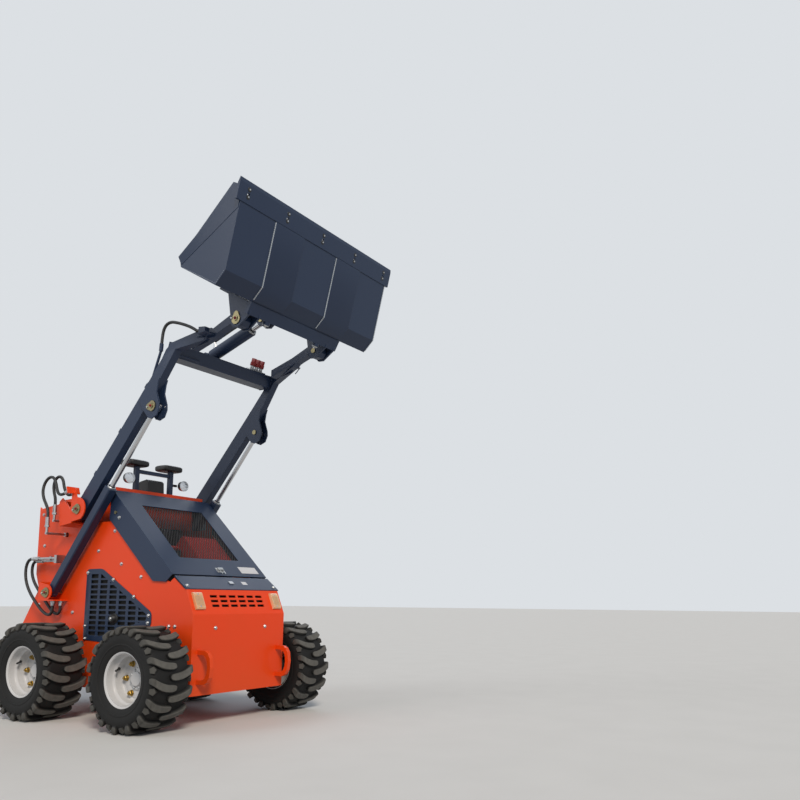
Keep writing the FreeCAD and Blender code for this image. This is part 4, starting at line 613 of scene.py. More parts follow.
# place across the lug's width, measured from its edge, and share of its height
SECTION = np.array([(5.0, 0.0), (1.4, 0.5), (0.0, 0.88), (-3.4, 1.0)])
top_across, top_radius, foot_across, foot_radius, lead, half = lug_line.T[:, :, None]
width = half + SECTION[:, 0]
width = np.concatenate([-width, width[:, ::-1]], axis=1)
share = np.concatenate([SECTION[:, 1], SECTION[::-1, 1]])
radius = foot_radius + (top_radius - foot_radius) * share
across = foot_across + (top_across - foot_across) * share
angle = -np.radians(lead) + width / TYRE_RADIUS
first = -math.pi / 2 - 20.0 / TYRE_RADIUS
lugs = []
for side, offset in ((1, 0.0), (-1, 0.5)):
    for number in range(LUGS):
        turn = angle + first + 2 * np.pi / LUGS * (number + offset)
        lug = np.stack([radius * np.cos(turn), radius * np.sin(turn), side * across], axis=-1)
        lugs.append(closed_tube(lug))
        # a five-sided block stands on the shoulder between every two lugs
        block_turn = first + 2 * np.pi / LUGS * (number + offset + 0.5)
        outward = np.array((math.cos(block_turn), math.sin(block_turn), 0.0))
        normal = 0.5 * outward + 0.866 * side * UP
        lugs.append(moved(prism(regular(5, 21.0, 0.3), -26.0, 6.0, 2.0), 266 * outward + side * 117 * UP,
                          *facing(normal, outward)))
tyre_forms = [carcass] + lugs
print("lugs", len(lugs), "faces in one", len(lugs[0][1]))

# %% [markdown]
# Rims. Each is a welded steel wheel: a rolled barrel with a flange at both edges, and a pressed disc
# set deep inside it. The whole section is one closed profile turned about the axle. Six chromated
# nuts hold the disc, small screws hold the hub's cover, and the tyre valve comes through the barrel.

# %% Rims, nuts and valves
# across from the wheel's middle, radius
RIM = [(106.6, 155), (108, 153.2), (107.4, 149.8), (103.5, 145.2), (100, 141.6), (97.5, 139.4), (70, 138.6),
       (63, 136.5), (58.5, 131), (55, 127.8), (24, 127), (15, 125.6), (9, 122.6), (6.4, 118), (4.6, 112.5),
       (4, 110), (6.8, 107), (6.8, 76), (4.4, 71), (4.4, 62), (12, 60), (13.5, 58), (13.5, 42), (22, 40),
       (24, 37.5), (24, 0), (-4, 0), (-4, 118), (-2, 126), (-12, 129.6), (-60, 132.4), (-70, 138.4),
       (-96, 139.4), (-101, 144.6), (-107.4, 149.8), (-108, 153.2), (-106.6, 155), (-103, 152.4),
       (-99, 143.4), (-66, 142.4), (-58, 136.6), (10, 134), (52, 131.6), (58, 134.6), (62, 140.4),
       (70, 142.4), (99, 143.4), (103, 152.4)]


def ringed(form, radius, degrees):
    """The form repeated on a circle, at each of the given angles."""
    return [moved(form, (radius * math.cos(turn), radius * math.sin(turn), 0))
            for turn in np.radians(degrees)]


nut = stack((6, 14.5, 11.0, 26.0, 1.8), (24, 17.5, 6.6, 11.5, 1.5), (16, 7.0, 25.0, 33.0, 1.2))
screw = stack((6, 7.4, 13.0, 19.0, 1.0), (16, 9.0, 12.8, 14.6, 0.4))
valve_turn = math.radians(155)
valve_way = np.array((math.cos(valve_turn), math.sin(valve_turn), 0.0))
valve = moved(stack((16, 9.0, 0.0, 7.0, 2.0), (12, 5.2, 6.0, 34.0, 1.2), (8, 6.4, 30.0, 44.0, 1.6)),
              126 * valve_way + 44 * UP, *facing(-0.55 * valve_way + 0.85 * UP))
# name, forms, slot, finish
WHEEL_PARTS = [("wheel_nuts", ringed(nut, 92, np.arange(0, 360, 60)), "zinc_steel", brass),
               ("hub_screws", ringed(screw, 50, np.arange(22.5, 382, 45)), "zinc_steel", None),
               ("valve", [valve], "black_plastic", None)]
rim_form = turned(RIM, 96)
for end, end_sign in (("front", 1), ("rear", -1)):
    for side, sign in SIDES:
        body = f"wheel_{end}_{side}"
        middle = np.array((end_sign * AXLE, sign * TRACK, TYRE_RADIUS))
        hub = (middle, ALONG, UP, sign * ACROSS)
        tread = fit(f"tread_{end}_{side}", [moved(form, *hub) for form in tyre_forms], body, "tyre_rubber",
                    stands_for=[f"tyre_{end}_{side}"], crease=28)
        places = np.empty(len(tread.data.vertices) * 3)
        tread.data.vertices.foreach_get("co", places)
        places = places.reshape(-1, 3) * 1000 - middle
        from_axle, from_middle = np.hypot(places[:, 0], places[:, 2]), np.abs(places[:, 1])
        shoulder = 0.6 * np.clip((0.866 * from_middle + 0.5 * from_axle - 237.5) / 2.0, 0, 1)
        dusty = np.maximum(np.clip((from_axle - 286) / 5, 0, 1), shoulder)
        worn = tread.data.attributes.new("worn", "FLOAT", "POINT")
        worn.data.foreach_set("value", dusty.astype(np.float32))
        fit(f"wheel_disc_{end}_{side}", [moved(rim_form, *hub)], body, "rim_paint",
            stands_for=[f"rim_{end}_{side}"])
        for name, forms, slot, finish in WHEEL_PARTS:
            fit(f"{name}_{end}_{side}", [moved(form, *hub) for form in forms], body, slot, finish)
print("wheels dressed")

# %% [markdown]
# Hood mesh. The opening is covered with expanded metal: a sheet is slit and drawn out, so its strands
# run zigzag and meet their neighbours in diamonds. Each strand is one zigzag bar up the slope, and
# every second bar mirrors it. The diamond is about 30 mm long and 20 mm wide, with strands 4 mm wide.

# %% Expanded metal
slope_start, slope_end = np.array((459.0, 0.0, 880.0)), np.array((-128.0, 0.0, 1415.0))
slope_up = unit(slope_end - slope_start)
slope_out = np.cross(slope_up, ACROSS)
slope_out *= np.sign(slope_out[2])
OVER_HOOD = (-ACROSS, slope_up, slope_out)


def on_hood(along, across, out=0.0):
    """The point on the hood's outer face that far up its slope and across, and out of it."""
    along, across, out = np.broadcast_arrays(np.asarray(along, float), across, out)
    return slope_start + along[..., None] * slope_up + across[..., None] * ACROSS + out[..., None] * slope_out


LOW, HIGH, HALF, PITCH, DIAMOND, STRAND = 146.0, 674.0, 250.0, 10.0, 15.0, 1.9
rows = np.arange(-HALF + PITCH / 2, HALF, PITCH)
steps = np.linspace(LOW, HIGH, round((HIGH - LOW) / DIAMOND) + 1)
zigzag = np.where(np.arange(len(steps)) % 2 == 0, 1.0, -1.0) * (PITCH / 2 - 0.9)
strands = []
for number, row in enumerate(rows):
    middle = row + zigzag * (1 if number % 2 == 0 else -1)
    ring = [on_hood(steps, middle + wide, -deep)
            for wide, deep in ((-STRAND, 4.2), (STRAND, 4.2), (STRAND, 6.6), (-STRAND, 6.6))]
    strands.append(closed_tube(np.stack(ring, axis=1)))
fit("hood_expanded_metal", strands, "hood", "mesh_steel", stands_for=["hood_mesh"], crease=20)
print("strands", len(rows), "steps in each", len(steps))

# %% [markdown]
# What shows through the mesh: the red cover over the fan is pressed with a row of deep ribs, and the
# air intake beside it is a black corrugated pipe. Both sit on the cover that the model already has.

# %% Fan cover ribs and intake pipe
COVER_EDGES, COVER_DEPTH = np.array((-28, 234)), 44.8
RIB_SECTION = ((-6.5, 0.0), (-4.0, 6.0), (0.0, 7.5), (4.0, 6.0), (6.5, 0.0))
ribs = []
for along in np.arange(178, 428, 14.0):
    rib = [on_hood(along + wide, COVER_EDGES, high - COVER_DEPTH) for wide, high in RIB_SECTION]
    ribs.append(closed_tube(np.stack(rib, axis=1)))
fit("fan_cover_ribs", ribs, "chassis", "red_paint")
share = np.linspace(0, 1, 90)
pipe_path = np.column_stack([40 - 150 * share, -115 - 95 * np.sin(2.2 * share), 1005 + 235 * share])
pipe = rod(pipe_path, 31 + 2.6 * np.cos(share * 90 * np.pi / 2), 24)
fit("intake_pipe", [pipe], "chassis", "black_plastic", crease=60)
print("ribs", len(ribs))

# %% [markdown]
# Fasteners. Flanged hex screws hold the panels, grilles, strip and lamps. One screw is a hexagon on a
# round flange with a shallow dome, and the tables below say where each stands. Both sides of the
# machine carry the same screws.

# %% Screws
head_form = stack((6, 8.6, 1.6, 8.0, 1.1), (20, 11.5, 0.0, 2.2, 0.5), (12, 5.0, 7.0, 8.8, 0.7))
# forward, up
PANEL_SCREWS = [(-98, 1154), (-246, 1032), (-18, 946), (171, 865), (-470, 644), (-814, 1080), (439, 573),
                (490, 574), (-830, 690), (-700, 470), (-845, 1290), (-610, 1300), (300, 430), (120, 380)]
GRILLE_SCREWS = [(-332, 895), (-332, 560), (-325, 482), (-130, 478), (258, 590), (262, 634), (120, 745),
                 (-80, 850)]
REAR_SCREWS = [(-880, 1290), (-880, 930), (-900, 640), (-900, 230)]
STRIP_SCREW, STRIP_NORMAL = (553.16, 811.52), (76, 0, 102)
panel_screws, grille_screws, hood_screws = [], [], []
for side, sign in SIDES:
    outward = facing((0, sign, 0))
    panel_screws += [moved(head_form, (x, sign * 368, z), *outward) for x, z in PANEL_SCREWS]
    grille_screws += [moved(head_form, (x, sign * 372, z), *outward) for x, z in GRILLE_SCREWS]
    hood_screws.append(moved(head_form, (-52, sign * 378, 1235), *outward))
    panel_screws.append(moved(head_form, (637, sign * 200, 565), *facing(ALONG)))
    panel_screws += [moved(head_form, (x, sign * y, z), *facing(-ALONG))
                     for x, z in REAR_SCREWS for y in (120, 335)]
    grille_screws.append(moved(head_form, (STRIP_SCREW[0], sign * 350, STRIP_SCREW[1]),
                               *facing(STRIP_NORMAL)))
fit("panel_screws", panel_screws, "chassis", "zinc_steel")
fit("grille_screws", grille_screws, "chassis", "zinc_steel")
fit("hood_screws", hood_screws, "hood", "zinc_steel")
print("screws", len(panel_screws) + len(grille_screws) + len(hood_screws))

# %% [markdown]
# Grease nipples and red end caps. Every pivot pin has a small nipple in the middle of its end, under
# a red plastic cap, and a screw through its drop-shaped keeper.

# %% Pin ends
nipple = stack((20, 9.5, -0.5, 3.0, 1.0), (12, 4.5, 2.0, 9.0, 1.2))
keeper_screw = stack((6, 6.5, 0.0, 5.0, 0.8))
# name, body, pin's place, the pin's end and its keeper's face out from the middle, screw above the pin
PINS = [("boom_pivot", "chassis", (-350, 1295), 476, 472, -5),
        ("lift_base", "chassis", (-612, 770), 476, 472, -5),
        ("rod", "boom", (287, 1891), 463, 459, -5), ("hitch", "bucket", (885, 2360), 388, 384, 5)]
for name, body, (x, z), pin_end, keeper_face, rise in PINS:
    caps = [beside(nipple, x, pin_end, z, sign) for side, sign in SIDES]
    keeper_screws = [beside(keeper_screw, x - 32, keeper_face, z + rise, sign) for side, sign in SIDES]
    fit(f"{name}_pin_caps", caps, body, "red_paint", cap_red)
    fit(f"{name}_keeper_screws", keeper_screws, body, "zinc_steel")
print("pins dressed", len(PINS))

# %% [markdown]
# Bucket. Two wear plates are welded under the floor and bent round the heel with it. Only one edge of
# each has a stitch: a weld bead is a rod whose radius swells and shrinks with every drop of metal.
# These beads are drawn in bright bare metal, a painted highlight for the light they catch. Ten
# square-neck bolts hold the cutting edge; a small bright square set off the middle of each dark head
# is a painted glint.

# %% Wear plates, weld beads and edge bolts
floor_start, floor_end = np.array((1088.0, 0, 2507.0)), np.array((1204.0, 0, 3000.0))
heel, back = np.array((1012.0, 0, 2435.0)), np.array((731.0, 0, 2595.0))


def square_to(run, way):
    """The direction square to the run and to the axles, on the side of the given way."""
    out = np.cross(run, ACROSS)
    return out * np.sign(out @ way)


floor_up, heel_up = unit(floor_end - floor_start), unit(floor_start - heel)
floor_out, heel_out = square_to(floor_up, ALONG), square_to(heel_up, -UP)
line = [(heel + 14 * heel_up, heel_out), (floor_start, unit(floor_out + heel_out) * 1.02),
        (floor_start + 381 * floor_up, floor_out)]
PLATE_EDGES, PLATE, PLATE_BEVEL = ((-383, -150), (150, 383)), 8.0, 2
plates = []
for low, high in PLATE_EDGES:
    rings = []
    for y in (low, low + PLATE_BEVEL, high - PLATE_BEVEL, high):
        lift = PLATE if low < y < high else PLATE - PLATE_BEVEL
        outer = [place + y * ACROSS + lift * out for place, out in line]
        inner = [place + y * ACROSS + 0.2 * out for place, out in reversed(line)]
        rings.append(outer + inner)
    plates.append(closed_tube(np.array(rings)))
fit("wear_plates", plates, "bucket", "charcoal_paint")


def bead(path, size, pitch=12.0, step=3.0):
    """A weld bead: the path is cut into equal steps, and the radius is the size times
    0.62 plus 0.5 of the absolute sine of the distance over the pitch."""
    even, spots = evened(path, step)
    return rod(even, size * (0.62 + 0.5 * np.abs(np.sin(np.pi * spots / pitch))), 8)


# the stitches and the inner seams are drawn in bright bare metal: a painted highlight along each bead
stitches = [bead([place + y * ACROSS + 1.5 * out for place, out in line], size)
            for y, size in ((-384.5, 4.4), (148.5, 4.4), (655, 3.0))]
fit("bucket_stitch_welds", stitches, "bucket", "charcoal_paint", weld_highlight_metal)
INNER_SEAM = [(1076, 2509), (1014, 2445), (739, 2593)]
seams = [bead([(x, sign * 654, z) for x, z in INNER_SEAM], 3.2) for side, sign in SIDES]
fit("bucket_inner_welds", seams, "bucket", "charcoal_paint", weld_highlight_metal)

BOLT_ROWS, BOLT_PLACES = (420, 462), (-614, -307, 0, 307, 614)
bolt_rims, bolt_glints, bolt_heads = [], [], []
for along in BOLT_ROWS:
    for y in BOLT_PLACES:
        at = floor_start + along * floor_up + y * ACROSS
        outside, inside = at + 4 * floor_out, at - 12 * floor_out
        bolt_rims.append(moved(stack((20, 12.5, -4.0, 1.4, 0.8)), outside, *facing(floor_out)))
        # a small bright zinc square set off the middle of each dark head is a painted glint
        bolt_glints.append(moved(prism(rectangle(9, 9), 1.0, 3.2, 0.8),
                                  outside + 2.5 * ACROSS + 2 * floor_up, *facing(floor_out)))
        bolt_heads.append(moved(stack((6, 13.0, 0.0, 9.0, 1.4)), inside, *facing(-floor_out)))
fit("edge_bolt_rims", bolt_rims, "bucket", "axle_steel")
fit("edge_bolt_glints_and_nuts", bolt_glints + bolt_heads, "bucket", "zinc_steel")

# the sides are folded: the part towards the mouth leans out from a crease to the mouth's edge
CREASE_LINE, MOUTH_LINE = np.array([(735, 2606), (1162, 2846)]), np.array([(721, 2653), (1196, 2994)])
steps = np.linspace(0, 1, 12)[:, None]
crease, mouth = [ends[0] * (1 - steps) + ends[1] * steps for ends in (CREASE_LINE, MOUTH_LINE)]
ring = [(crease, 655.0), (crease, 658.6), (mouth, 669.0), (mouth, 655.0)]
folds = [closed_tube(np.stack([np.insert(edge, 1, sign * out, axis=1) for edge, out in ring], axis=1))
         for side, sign in SIDES]
fit("bucket_side_folds", folds, "bucket", "charcoal_paint")

# the hitch is locked by two bolts behind round collars
heel_run = unit(back - heel)
lock_out = square_to(heel_run, -UP)
COLLAR = [(18.0, 13.0), (18.0, 19.0), (24.0, 17.5), (24.0, 13.0)]
lock = together([turned(COLLAR, 32), stack((6, 9.0, 25.0, 34.0, 1.4))])
lock_bolts = [moved(lock, heel + 9 * heel_run + 74 * lock_out + sign * 218 * ACROSS,
                    *facing(lock_out, ACROSS))
              for side, sign in SIDES]
fit("hitch_lock_bolts", lock_bolts, "bucket", "zinc_steel")
print("wear plates", len(plates), "beads", len(stitches) + len(seams))

# %% [markdown]
# Boom. Past the knee the real arms bend inwards to the hitch, so their ends are drawn in here. Welders
# leave a bead wherever plates meet: round the cheeks at the knee, along the cross tube and where the
# tips run into the arms. The beads are painted over with the boom, so they only catch the light. The
# couplers on the cross tube wear folded red dust caps.

# %% Boom ends, welds and dust caps
boom_solid = frame["nodes"]["boom"]
places = np.empty(len(boom_solid.data.vertices) * 3)
boom_solid.data.vertices.foreach_get("co", places)
to_world = np.array(boom_solid.matrix_world)
places = (places.reshape(-1, 3) @ to_world[:3, :3].T + to_world[:3, 3]) * 1000
boom_faces = [list(face.vertices) for face in boom_solid.data.polygons]


def drawn_in(places):
    """Past the knee each arm leans inwards, up to 88 mm at its end, and is that much shorter: from
    x 423 on, the lean grows in step with x, and x and z scale about (4282, 738)."""
    x, y, z = places.T
    share = np.clip((x - 423) / 365, 0, 1.05) * (np.abs(y) > 394) * (z > 2190)
    lean = 84 * share
    scale = 1 + lean / 3081.5
    return np.column_stack([4282 + (x - 4282) * scale, y - np.sign(y) * lean, 738 + (z - 738) * scale])


# the block that carries the hose stands straight, so it is taken off the bent arm and made anew
x, y, z = places.T
mount = (x > 638) & (x < 697) & (y < -402) & (y > -438) & (z > 2290)
bent = fit("boom_weldment", [(drawn_in(places), boom_faces)], "boom", "charcoal_paint", stands_for=["boom"])
work = bmesh.new()
work.from_mesh(bent.data)
where = drawn_in(places[mount]) * 0.001
extra = [corner for corner in work.verts if np.abs(np.array(corner.co) - where).max(axis=1).min() < 2e-5]
bmesh.ops.delete(work, geom=extra, context="VERTS")
open_edges = [edge for edge in work.edges if edge.is_boundary]
bmesh.ops.triangulate(work, faces=bmesh.ops.holes_fill(work, edges=open_edges, sides=0)["faces"])
bmesh.ops.recalc_face_normals(work, faces=work.faces)
work.to_mesh(bent.data)
print("boom corners", len(work.verts), "taken off", len(extra))
print("open edges", sum(edge.is_boundary for edge in work.edges))
work.free()
bent.data.set_sharp_from_angle(angle=math.radians(35))
MOUNT_BLOCK = prism([(640, 2296), (695, 2304), (695, 2326), (640, 2332)], 404, 436, 0.6)
MOUNT_FOOT = prism([(636, 2288), (699, 2297), (698, 2303), (635, 2294)], 350, 440, 0.6)
fit("boom_hose_mount", [beside(form, 0, 0, 0, -1) for form in (MOUNT_BLOCK, MOUNT_FOOT)], "boom",
    "charcoal_paint")

ARM, ARM_ANGLE = 1010, math.radians(49.4)
knee = np.array((-350 + ARM * math.cos(ARM_ANGLE), 0, 1295 + ARM * math.sin(ARM_ANGLE)))
rod_pin, hitch_pin = np.array((287.0, 0, 1891.0)), np.array((885.0, 0, 2360.0))
CHEEK = [(-122, 48), (-86, -8), (-29, -69), (-1, -79), (43, -62), (62, -19), (59, 14), (33, 84)]
TUBE = [(97, 130), (123, 206), (36, 236), (5, 130), (97, 130)]
TIP = [(-385, -82), (-205, -58), (-250, -98)]
# from which pin, out from the middle, forward and up from the pin, size
SEAMS = [(rod_pin, 445.5, CHEEK[:3], 2.6), (rod_pin, 445.5, CHEEK[6:], 2.6), (rod_pin, 394.5, CHEEK[:3], 2.6),
         (rod_pin, 394.5, CHEEK[6:], 2.6), (knee, 393, TUBE, 3.6), (hitch_pin, 360.5, TIP[:2], 3.4),
         (hitch_pin, 394.5, TIP, 3.4)]
boom_beads = [bead([pin + (x, sign * y, z) for x, z in run], size)
              for side, sign in SIDES for pin, y, run, size in SEAMS]
fit("boom_weld_beads", boom_beads, "boom", "charcoal_paint")

ON_TUBE = (ACROSS, unit((-87.0, 0, 30.0)), unit((30.0, 0, 87.0)))
tube_top = knee + (80, 0, 221)
coupler = stack((6, 15.0, 0.0, 16.0, 1.5), (24, 13.0, 15.0, 40.0, 2.0), (24, 15.0, 26.0, 32.0, 1.2))
dust_cap = together([stack((20, 18.5, 30.0, 56.0, 3.0)), prism(rectangle(13, 32), 54.0, 82.0, 2.5)])
bases = [tube_top + y * ACROSS for y in (236, 274, 312)]
couplers = [moved(coupler, base, *ON_TUBE) for base in bases]
couplers.append(moved(prism(rectangle(140, 44), -0.2, 8.0, 2.0), bases[1], *ON_TUBE))
fit("couplers", couplers, "boom", "zinc_steel")
fit("coupler_dust_caps", [moved(dust_cap, base, *ON_TUBE) for base in bases], "boom", "red_paint", cap_red)
print("boom beads", len(boom_beads), "couplers", len(bases))

# %% [markdown]
# Cylinders. A gland nut closes each barrel, with a wiper ring round the rod, and a welded boss takes
# each hose. They ride on the barrels.

# %% Glands and wipers
lift_base, tilt_base = np.array((-612.0, 0, 770.0)), np.array((240.0, 0, 2318.0))
tilt_pin = np.array((730.0, 0, 2492.0))
# body, base pin, rod pin, across, barrel's length, outer radius, bore
GLANDS = [("lift_barrel_right", lift_base, rod_pin, -420, 832, 25.0, 14.3),
          ("lift_barrel_left", lift_base, rod_pin, 420, 832, 25.0, 14.3),
          ("tilt_barrel", tilt_base, tilt_pin, 0.0, 398, 33.0, 17.3)]
for body, base, end, y, length, outer, bore in GLANDS:
    run = unit(end - base)
    mouth = (base + (0, y, 0) + length * run, ACROSS, np.cross(run, ACROSS), run)
    ring = turned([(0.0, bore), (0.0, outer), (10.0, outer), (12.0, outer - 2), (12.0, bore)], 40)
    wiper = turned([(11.5, bore), (11.5, bore + 5), (15.5, bore + 3.5), (17.0, bore + 0.4), (17.0, bore)], 40)
    fit(f"{body}_gland", [moved(ring, *mouth)], body, "zinc_steel")
    fit(f"{body}_wiper", [moved(wiper, *mouth)], body, "black_plastic", crease=50)
tilt_run = unit(tilt_pin - tilt_base)
tilt_up = square_to(tilt_run, UP)
port = stack((20, 15, 36.0, 50.0, 1.5), (6, 13, 49.0, 62.0, 1.5), (16, 8.5, 60.0, 84.0, 1.0))
ports = [moved(port, tilt_base + along * tilt_run, tilt_run, ACROSS, tilt_up) for along in (80, 360)]
fit("tilt_ports", ports, "tilt_barrel", "zinc_steel")
FEED = [(80, 78), (88, 83), (220, 84), (352, 83), (360, 78)]
feed_line = rod([tilt_base + along * tilt_run + up * tilt_up for along, up in FEED], 6.0)
fit("tilt_feed_line", [feed_line], "tilt_barrel", "hose_rubber", crease=60)
print("glands", len(GLANDS))

# %% [markdown]
# Grips. The hand rest is a moulded foam pad on each post, thick in the middle and rolled at its
# edges. It is a superellipsoid: the cosine and sine of its two angles are raised to a small power,
# which squares the form while it keeps its crown.


# %% Padded grips
def squared(angle, power):
    """The pair cosine and sine, each raised to the power with its sign kept."""
    cosine, sine = np.cos(angle), np.sin(angle)
    return np.sign(cosine) * np.abs(cosine) ** power, np.sign(sine) * np.abs(sine) ** power


PAD_LONG, PAD_WIDE, PAD_HIGH = 69, 76, 23.5
level_out, level_up = squared(np.linspace(-np.pi / 2, np.pi / 2, 25)[1:-1][:, None], 0.5)
round_u, round_v = squared(np.linspace(0, 2 * np.pi, 48, endpoint=False)[None, :], 0.42)
pad = np.stack([PAD_LONG * level_out * round_u, PAD_WIDE * level_out * round_v,
                PAD_HIGH * np.broadcast_to(level_up, (23, 48))], axis=-1)
pad[..., 2] *= np.where(pad[..., 2] > 0, 1.0 - 0.14 * (pad[..., 0] / PAD_LONG) ** 2, 1.0)
for side, sign in SIDES:
    grip = fit(f"grip_pad_{side}", [moved(closed_tube(pad), (-261, sign * 136, 1631.5))], "chassis",
               "foam_rubber", stands_for=["grip_pads"], crease=60)
print("pads", len(SIDES))

# %% [markdown]
# Controls. The rear console carries a round gauge, a key switch and three levers with ball knobs.
# Nothing here is lettered.

# %% Console
console_out = unit((-30.0, 0, 170.0))
ON_CONSOLE = (ACROSS, unit((170.0, 0, 30.0)), console_out)


def on_console(x, y):
    """The point on the console's sloped top at that length."""
    return np.array((x, y, 1446 + (x + 600) * 30 / 170))


BEZEL = [(0.0, 26.0), (0.0, 33.0), (6.0, 33.0), (8.0, 30.0), (6.0, 27.0)]
DIAL = [(0.4, 0.1), (0.4, 27.0), (3.0, 27.0), (3.4, 0.1)]
GAITER = [(0.0, 0.5), (0.0, 17.0), (7.0, 12.0), (10.0, 6.0), (10.0, 0.5)]
KNOB = [(0.0, 0.1), (1.0, 8.0), (6.0, 14.0), (14.0, 17.0), (22.0, 14.0), (27.0, 8.0), (28.5, 0.1)]
levers, knobs = [], []
for y in (-110, -60, -10):
    foot = on_console(-655, y)
    levers.append(rod([foot, foot + 40 * console_out, foot + 74 * console_out + (8, 0, 0)], 5.0))
    levers.append(moved(turned(GAITER, 24), foot, *ON_CONSOLE))
    knobs.append(moved(turned(KNOB, 28), foot + 66 * console_out + (6, 0, 0), *ON_CONSOLE))
dial_at = on_console(-700, 95)
key = together([stack((24, 14, 0.0, 7.0, 1.5)), prism(rectangle(4, 22), 6.0, 26.0, 1.0)])
fit("console_levers", levers, "chassis", "zinc_steel")
fit("console_knobs", knobs, "chassis", "black_plastic", crease=60)
fit("gauge_bezel", [moved(turned(BEZEL, 40), dial_at, *ON_CONSOLE)], "chassis", "zinc_steel")
fit("gauge_face", [moved(turned(DIAL, 40), dial_at, *ON_CONSOLE)], "chassis", "black_plastic", lens_glass)
fit("key_switch", [moved(key, on_console(-640, 70), *ON_CONSOLE)], "chassis", "zinc_steel")
print("levers", len(knobs))

# %% [markdown]
# Lamps. Each front lamp is a ribbed amber lens in a pale surround, held by two screws. Each work lamp
# has a chrome ring and a clear glass that bulges a little.

# %% Lamp surrounds and glasses
face_up, face_out = unit((-65.0, 0, 145.0)), unit((145.0, 0, 65.0))
ON_FACE = (ACROSS, face_up, face_out)
face_start = np.array((637.0, 0, 645.0))
# along the lamp's own axis, radius
HOUSING = [(-46.0, 0.1), (-46.0, 12.0), (-41.0, 24.0), (-30.0, 32.5), (-14.0, 35.4), (-8.0, 35.6),
           (-6.0, 33.0), (-6.0, 0.1)]
RING = [(-9.0, 33.0), (-9.0, 36.2), (-1.0, 36.2), (0.0, 34.6), (-1.0, 31.0), (-5.0, 31.0)]
GLASS = [(-6.0, 0.1), (-6.0, 31.6), (-3.2, 31.6), (-1.6, 24.0), (-0.6, 12.0), (-0.3, 0.1)]
lens_rib, lens_screw = prism(rectangle(54, 5.2), -0.5, 2.2, 1.2), stack((16, 5.0, -0.5, 2.0, 0.8))
lens_ribs, lamp_screws, housings, rings, glasses = [], [], [], [], []
for side, sign in SIDES:
    middle = face_start + 83 * face_up + 16 * face_out + sign * 310 * ACROSS
    lens_ribs += [moved(lens_rib, middle + shift * face_up, *ON_FACE) for shift in np.arange(-28, 29, 7.0)]
    lamp_screws += [moved(lens_screw, middle + shift * face_up, *ON_FACE) for shift in (-38, 38)]
    hub = ((-190, sign * 216, 1519), ACROSS, UP, ALONG)
    housings.append(moved(turned(HOUSING, 48), *hub))
    housings.append(beside(prism(rectangle(15, 15), 147.0, 190.0, 1.5), -240, 0, 1519, sign))
    rings.append(moved(turned(RING, 48), *hub))
    glasses.append(moved(turned(GLASS, 48), *hub))
fit("front_lens_ribs", lens_ribs, "chassis", "amber_lens")
fit("front_lamp_screws", lamp_screws, "chassis", "zinc_steel")
fit("work_lamp_housings", housings, "chassis", "black_plastic", stands_for=["work_lamps"], crease=40)
fit("work_lamp_rings", rings, "chassis", "zinc_steel", finishes["chrome_rod"], crease=50)
fit("work_lamp_glasses", glasses, "chassis", "black_plastic", lens_glass, crease=60)
print("lamps dressed")

# %% [markdown]
# Small trim: the hood's over-centre latch and its hook on the strip, two blank plates, the studs of
# the operator's step, and black sheets behind the grilles: painted shade that hides the engine bay.
# Two small gussets close the side panels under the ends of the strip.

# %% Latch, blank plates, step studs, painted shade sheets and gussets
latch_at = on_hood(50.0, 12.0)
WIRE = [(12, 2, 8), (12, -44, 12), (-12, -44, 12), (-12, 2, 8)]
rivet = stack((12, 3.4, 2.0, 4.4, 1.0))
latch = [moved(prism(rectangle(62, 44), -0.2, 2.8, 0.8), latch_at, *OVER_HOOD),
         moved(prism(rectangle(40, 22), 2.4, 14.0, 3.0), latch_at + 4 * slope_up, *OVER_HOOD),
         rod([latch_at + a * ACROSS + b * slope_up + c * slope_out for a, b, c in WIRE], 2.2, 8)]
latch += [moved(rivet, latch_at + a * ACROSS + b * slope_up, *OVER_HOOD)
          for a in (-20, 20) for b in (-11, 11)]
fit("hood_latch", latch, "hood", "zinc_steel")
blank = moved(prism(rectangle(150, 62), -0.2, 1.4, 0.5), on_hood(62.0, 258.0), *OVER_HOOD)
fit("blank_hood_plate", [blank], "hood", "rim_paint")
strip_up, strip_out = unit((-102.0, 0, 76.0)), unit((76.0, 0, 102.0))
OVER_STRIP = (-ACROSS, strip_up, strip_out)
strip_at = np.array((572.0, 0, 790.0)) + 66 * strip_up + 6.0 * strip_out
hook = moved(prism(rectangle(34, 26), -0.2, 5.0, 1.5), strip_at + 12 * ACROSS, *OVER_STRIP)
fit("strip_hook", [hook], "chassis", "zinc_steel")
blank = moved(prism(rectangle(40, 30), -0.2, 1.2, 0.4), strip_at + 122 * ACROSS, *OVER_STRIP)
fit("blank_strip_plate", [blank], "chassis", "rim_paint")
stud, STUD_PITCH = turned([(-0.5, 0.1), (-0.5, 8.0), (2.6, 6.0), (3.4, 3.5), (3.4, 0.1)], 10), 26.0
studs = [moved(stud, (x, y, 300)) for row, x in enumerate(np.arange(-1180, -915, STUD_PITCH))
         for y in np.arange(-270 + STUD_PITCH / 2 * (row % 2), 272, STUD_PITCH)]
fit("step_studs", studs, "chassis", "charcoal_paint", crease=50)
SIDE_SHADE_SHEET = [(-340, 470), (-340, 1010), (-150, 1060), (400, 760), (560, 660), (600, 600), (600, 470)]
REAR_SHADE_SHEET = [(-335, 480), (335, 480), (335, 1240), (-335, 1240)]
VENT_SHADE_SHEET = [(-215, 20), (215, 20), (215, 150), (-215, 150)]
GUSSET = [(430, 827), (433, 838), (462, 858), (560, 790.4), (556, 789)]
